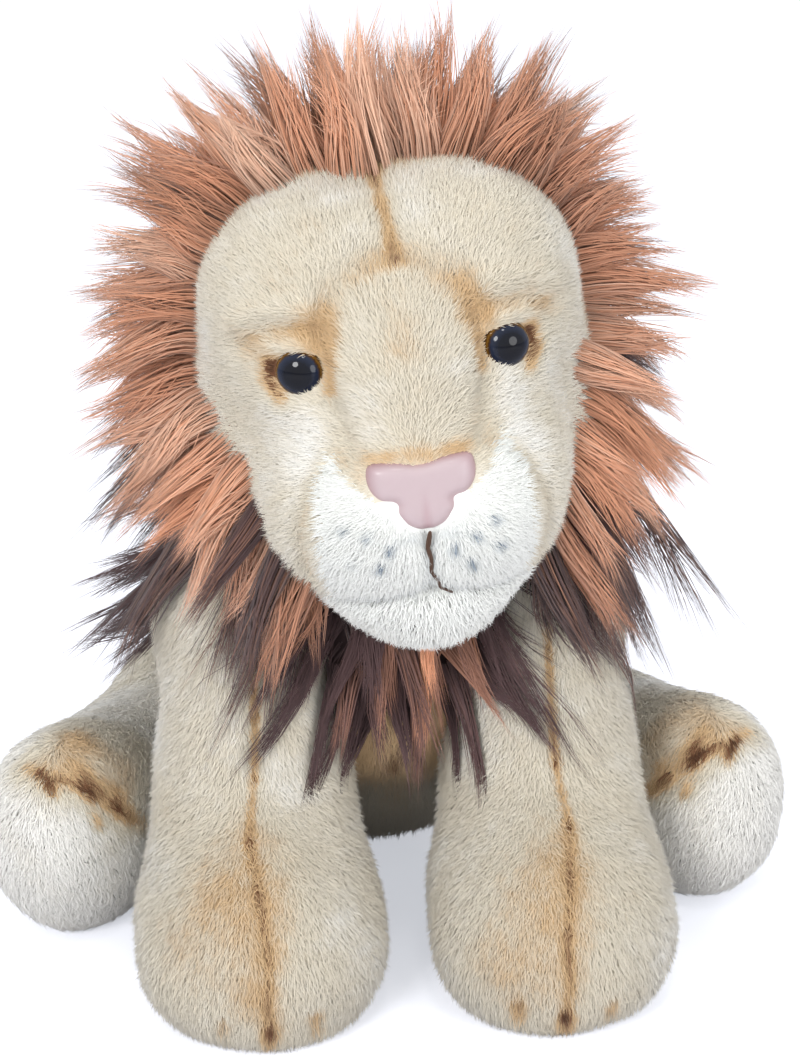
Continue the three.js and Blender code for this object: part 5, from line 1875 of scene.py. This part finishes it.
class LION_OT_tail(bpy.types.Operator):
    """Sew the curled tail and its dark tuft"""

    bl_idname = "lion.tail"
    bl_label = "Tail"

    def execute(self, context):
        line = open_curve(np.array(TAIL_SHARES) * TAIL_LONG + TAIL_ROOT, 14)
        way = unit_rows(np.gradient(line, axis=0))
        side = unit_rows(np.cross(way, [0, 0, 1.0]))
        up = np.cross(side, way)
        turn = np.linspace(0, 2 * math.pi, 36, endpoint=False)
        ring = np.cos(turn)[None, :, None] * side[:, None] + np.sin(turn)[None, :, None] * up[:, None]
        radius = TAIL_RADIUS - SHORT_PILE - 0.6 * np.exp(-np.arange(len(line)) / 3.0)
        tube = (line[:, None] + ring * radius[:, None, None]).reshape(-1, 3)
        points = np.vstack([line[:1], tube, line[-1:]])
        quads, tris = outward(points, *grid_faces(len(line), len(turn)))

        def place_on_line(p):
            return np.argmin(((p[:, None, :] - line[None, ::4]) ** 2).sum(-1), 1) * 4

        def tone(p):
            end = np.clip(place_on_line(p) / len(line) - 0.75, 0, 1)
            return 0.32 + ripple(p, 18, 2) * 0.07 + 0.3 * end

        mesh = coat(
            "tail_plush", (points, quads, tris, point_normals(points, quads, tris)),
            lambda p: way[place_on_line(p)], lambda p: np.where(p[:, 1] < 57, 2.0, 4.5), tone, 101,
        )
        cream = cream_plush(context.scene.lion_colours)
        place_piece(mesh, "tail", "tail_cover", "plush_ivory", cream)
        self.tuft(line[-1], way[-1], dark_pile(context.scene.lion_colours))
        return {"FINISHED"}

    def tuft(self, end, way, dark):
        """Locks that fan out from a small ball on the tail's end."""
        rng = np.random.default_rng(103)
        arc = np.linspace(0, math.pi, 18)[1:-1]
        half = TUFT_LONG / 2
        egg = [(TUFT_RADIUS * math.sin(a) ** 0.9, 1 + half - half * math.cos(a)) for a in arc]
        profile = [(0, 1), *egg, (0, 1 + TUFT_LONG)]
        points, faces = turned_piece(profile, 36)
        points = stood(points, end, way)
        quads, tris = outward(points, *faces)
        skin = (points, quads, tris, point_normals(points, quads, tris))
        roots, ups = spaced_roots(*skin, TUFT_GAP, rng)
        fibres = Fibres()
        fibres.skin(*skin, np.full(len(points), 0.25), rng)
        ways = unit_rows(way + ups * 0.42 + rng.normal(size=roots.shape) * 0.12)
        sizes = np.clip(44 - (roots - end) @ way, 12, 40) * rng.uniform(0.75, 1.0, len(roots))
        grow_locks(
            fibres, roots, ups, ways, sizes, np.full(len(roots), 0.3), rng, droop=0.1, spread=2.4, fork=1.5,
            dense=0.3, wave=0.8,
        )
        place_piece(fibres.mesh("tail_tuft_locks"), "tail_tip", "tail_tuft", "fur_dark", dark)


# Filling


def fibre_material(tint):
    """Loose polyester filling."""
    material, tree, shader = plain_material("Fibre Filling", tint, 0.95)
    tufts = grain(tree, 260.0, detail=6.0, distortion=1.2)
    put(tree, shader["Base Color"], scale_colour(tree, shade_of(tree, tint), gained(tree, tufts, 0.25, 0.82)))
    bump_onto(tree, shader, tufts, 0.8, 0.001)
    return material


def bag_material(tint):
    """Plain woven bag over plastic pellets."""
    material, tree, shader = plain_material("Bag Cloth", tint, 0.85)
    woven_onto(tree, shader, tint, 500.0)
    return material


def washer_material(tint):
    """Moulded white plastic with a faint flow grain."""
    material, tree, shader = plain_material("Lock Washer", tint, 0.45)
    flow = grain(tree, 900.0)
    put(tree, shader["Base Color"], scale_colour(tree, shade_of(tree, tint), gained(tree, flow, 0.1, 0.93)))
    put(tree, shader["Roughness"], gained(tree, flow, 0.2, 0.35))
    return material


def lumpy_copy(node, name, voxel, depth, size):
    """A node's own shape, remeshed and lightly lumped inwards."""
    source = frame["nodes"][node]
    piece = bpy.data.objects.new(name, source.data.copy())
    piece.matrix_world = source.matrix_world
    bpy.context.scene.collection.objects.link(piece)
    remesh = piece.modifiers.new("Remesh", "REMESH")
    remesh.mode = "VOXEL"
    remesh.voxel_size = voxel * METRE
    bpy.context.view_layer.update()
    shaped = bpy.data.meshes.new_from_object(piece.evaluated_get(bpy.context.evaluated_depsgraph_get()))
    piece.modifiers.clear()
    piece.data = shaped
    shaped.name = name
    points = np.array([v.co for v in shaped.vertices])
    normals = np.array([v.normal for v in shaped.vertices])
    lumps = 0.5 + 0.5 * np.clip(ripple(points / METRE, size, 5), -1, 1)
    points -= normals * (depth * METRE * lumps)[:, None]
    shaped.vertices.foreach_set("co", points.astype(np.float32).ravel())
    shaped.shade_smooth()
    shaped.update()
    return piece


class LION_OT_filling(bpy.types.Operator):
    """Fill the covers: fibre stuffing, the pellet bag and the lock washers"""

    bl_idname = "lion.filling"
    bl_label = "Filling"

    def execute(self, context):
        dyes = context.scene.lion_colours
        fibre, bag = fibre_material(dyes.fibre), bag_material(dyes.bag)
        plastic = washer_material(dyes.washer)
        bodies = frame["record"]["behaviour"]["bodies"]
        owner = {node: body for body, nodes in bodies.items() for node in nodes}
        for node in sorted(owner):
            if node.endswith("_stuffing"):
                piece = lumpy_copy(node, f"{node}_fibre", 2.6, 0.7, 12)
                settle(piece, owner[node], node, "stuffing", fibre)
            elif node == "pellet_bag":
                piece = lumpy_copy(node, "pellet_bag_cloth", 1.4, 0.5, 5)
                settle(piece, owner[node], node, "bag_cloth", bag)
            elif node.endswith("_washer"):
                for place in frame["nodes"][node].material_slots:
                    place.material = plastic
        return {"FINISHED"}


# Stage


class LION_OT_stage(bpy.types.Operator):
    """Lay the floor and set the lamps and the camera"""

    bl_idname = "lion.stage"
    bl_label = "Stage"

    def execute(self, context):
        stage = context.scene.lion_stage
        self.floor(context, stage)
        self.daylight(context, stage)
        self.lamps(context, stage)
        self.camera(context, stage)
        return {"FINISHED"}

    def floor(self, context, stage):
        """A floor that bends up into a backdrop, which looks brighter to the camera than to the lion."""
        reach, back, bend = 3.0, 1.6, 1.2
        arc = np.linspace(0, math.pi / 2, 24)
        sweep = [(-reach, 0), *[(back + bend * math.sin(a), bend - bend * math.cos(a)) for a in arc]]
        sweep.append((back + bend, reach))
        points = [(x, y, z) for y, z in sweep for x in (-reach, reach)]
        faces = [(2 * i, 2 * i + 1, 2 * i + 3, 2 * i + 2) for i in range(len(sweep) - 1)]
        mesh = bpy.data.meshes.new("floor")
        mesh.from_pydata(points, [], faces)
        mesh.shade_smooth()
        floor = bpy.data.objects.new("floor", mesh)
        context.scene.collection.objects.link(floor)
        material, tree, shader = plain_material("Floor", stage.floor, 0.9)
        shader["Specular IOR Level"].default_value = 0.1
        shader["Emission Color"].default_value = (0.9, 0.93, 1, 1)
        seen = add_node(tree, "LightPath").outputs["Is Camera Ray"]
        put(tree, shader["Emission Strength"], math_node(tree, "MULTIPLY", seen, 0.56))
        mesh.materials.append(material)

    def daylight(self, context, stage):
        """Even light on the lion, and plain white where the camera sees past the floor."""
        world = bpy.data.worlds.get("World") or bpy.data.worlds.new("World")
        context.scene.world = world
        world.use_nodes = True
        tree = world.node_tree
        tree.nodes.clear()
        even = add_node(tree, "Background", Color=(0.96, 0.98, 1.0, 1), Strength=stage.ambient)
        white = add_node(tree, "Background", Color=(1, 1, 1, 1), Strength=1.0)
        ray = add_node(tree, "LightPath").outputs
        seen = math_node(tree, "MAXIMUM", ray["Is Camera Ray"], ray["Is Glossy Ray"])
        mix = add_node(tree, "MixShader", Fac=math_node(tree, "MAXIMUM", seen, ray["Is Transmission Ray"]))
        put(tree, mix.inputs[1], even.outputs[0])
        put(tree, mix.inputs[2], white.outputs[0])
        add_node(tree, "OutputWorld", Surface=mix.outputs[0])

    def lamps(self, context, stage):
        """Round lamps that look at the lion's chest: name, place, width and power."""
        for name, at, size, power in (
            ("key_lamp", (-0.6, -1.05, 0.75), 0.42, stage.key),
            ("fill_lamp", (0.8, -1.1, 0.45), 0.65, stage.fill),
            ("top_lamp", (0.1, 0.35, 1.25), 0.8, stage.fill * 0.4),
            ("spark_lamp", (0.02, -0.55, 1.05), 0.16, 1.0),
        ):
            data = bpy.data.lights.new(name, "AREA")
            data.shape = "DISK"
            data.size = size
            data.energy = power
            self.aimed(context, bpy.data.objects.new(name, data), at, (0, -0.06, 0.14))

    def camera(self, context, stage):
        """The photograph's camera: in front, above and a little to the left."""
        data = bpy.data.cameras.new("camera")
        data.lens = stage.lens
        data.sensor_width = 36
        data.shift_x, data.shift_y = 0.0015, 0.0283
        data.clip_start, data.clip_end = 0.05, 20
        camera = bpy.data.objects.new("camera", data)
        self.aimed(context, camera, (-0.08117, -0.88226, 0.48573), (0, -0.11, 0.14))
        context.scene.camera = camera
        context.scene.view_settings.view_transform = "Standard"

    def aimed(self, context, item, at, target):
        """Puts a lamp or the camera at a place, turned to a target."""
        item.location = at
        item.rotation_euler = (Vector(target) - Vector(at)).to_track_quat("-Z", "Y").to_euler()
        context.scene.collection.objects.link(item)


# Panel and run

OPERATORS = (
    LION_OT_stage, LION_OT_head, LION_OT_mane, LION_OT_ears, LION_OT_eyes, LION_OT_nose, LION_OT_mouth,
    LION_OT_front_legs, LION_OT_hind_legs, LION_OT_torso, LION_OT_bib, LION_OT_collar, LION_OT_tail,
    LION_OT_filling,
)
GROUPS = {"lion_pile": LionPile, "lion_mane": LionMane, "lion_colours": LionColours, "lion_stage": LionStage}


class LION_PT_panel(bpy.types.Panel):
    """Lists the lion's settings and its pieces"""

    bl_idname = "LION_PT_panel"
    bl_label = "Plush Lion"
    bl_space_type = "VIEW_3D"
    bl_region_type = "UI"
    bl_category = "Lion"

    def draw(self, context):
        for name, group in GROUPS.items():
            box = self.layout.box()
            for title in group.__annotations__:
                box.prop(getattr(context.scene, name), title)
        for operator in OPERATORS:
            self.layout.operator(operator.bl_idname)


CLASSES = (*GROUPS.values(), *OPERATORS, LION_PT_panel)


def register():
    for cls in CLASSES:
        bpy.utils.register_class(cls)
    for name, group in GROUPS.items():
        setattr(bpy.types.Scene, name, PointerProperty(type=group))


def unregister():
    for name in GROUPS:
        delattr(bpy.types.Scene, name)
    for cls in reversed(CLASSES):
        bpy.utils.unregister_class(cls)


def main():
    register()
    bpy.ops.lion.stage()
    bpy.ops.lion.head()
    bpy.ops.lion.mane()
    bpy.ops.lion.ears()
    bpy.ops.lion.eyes()
    bpy.ops.lion.nose()
    bpy.ops.lion.mouth()
    bpy.ops.lion.front_legs()
    bpy.ops.lion.hind_legs()
    bpy.ops.lion.torso()
    bpy.ops.lion.bib()
    bpy.ops.lion.collar()
    bpy.ops.lion.tail()
    bpy.ops.lion.filling()


if __name__ == "__main__":
    main()
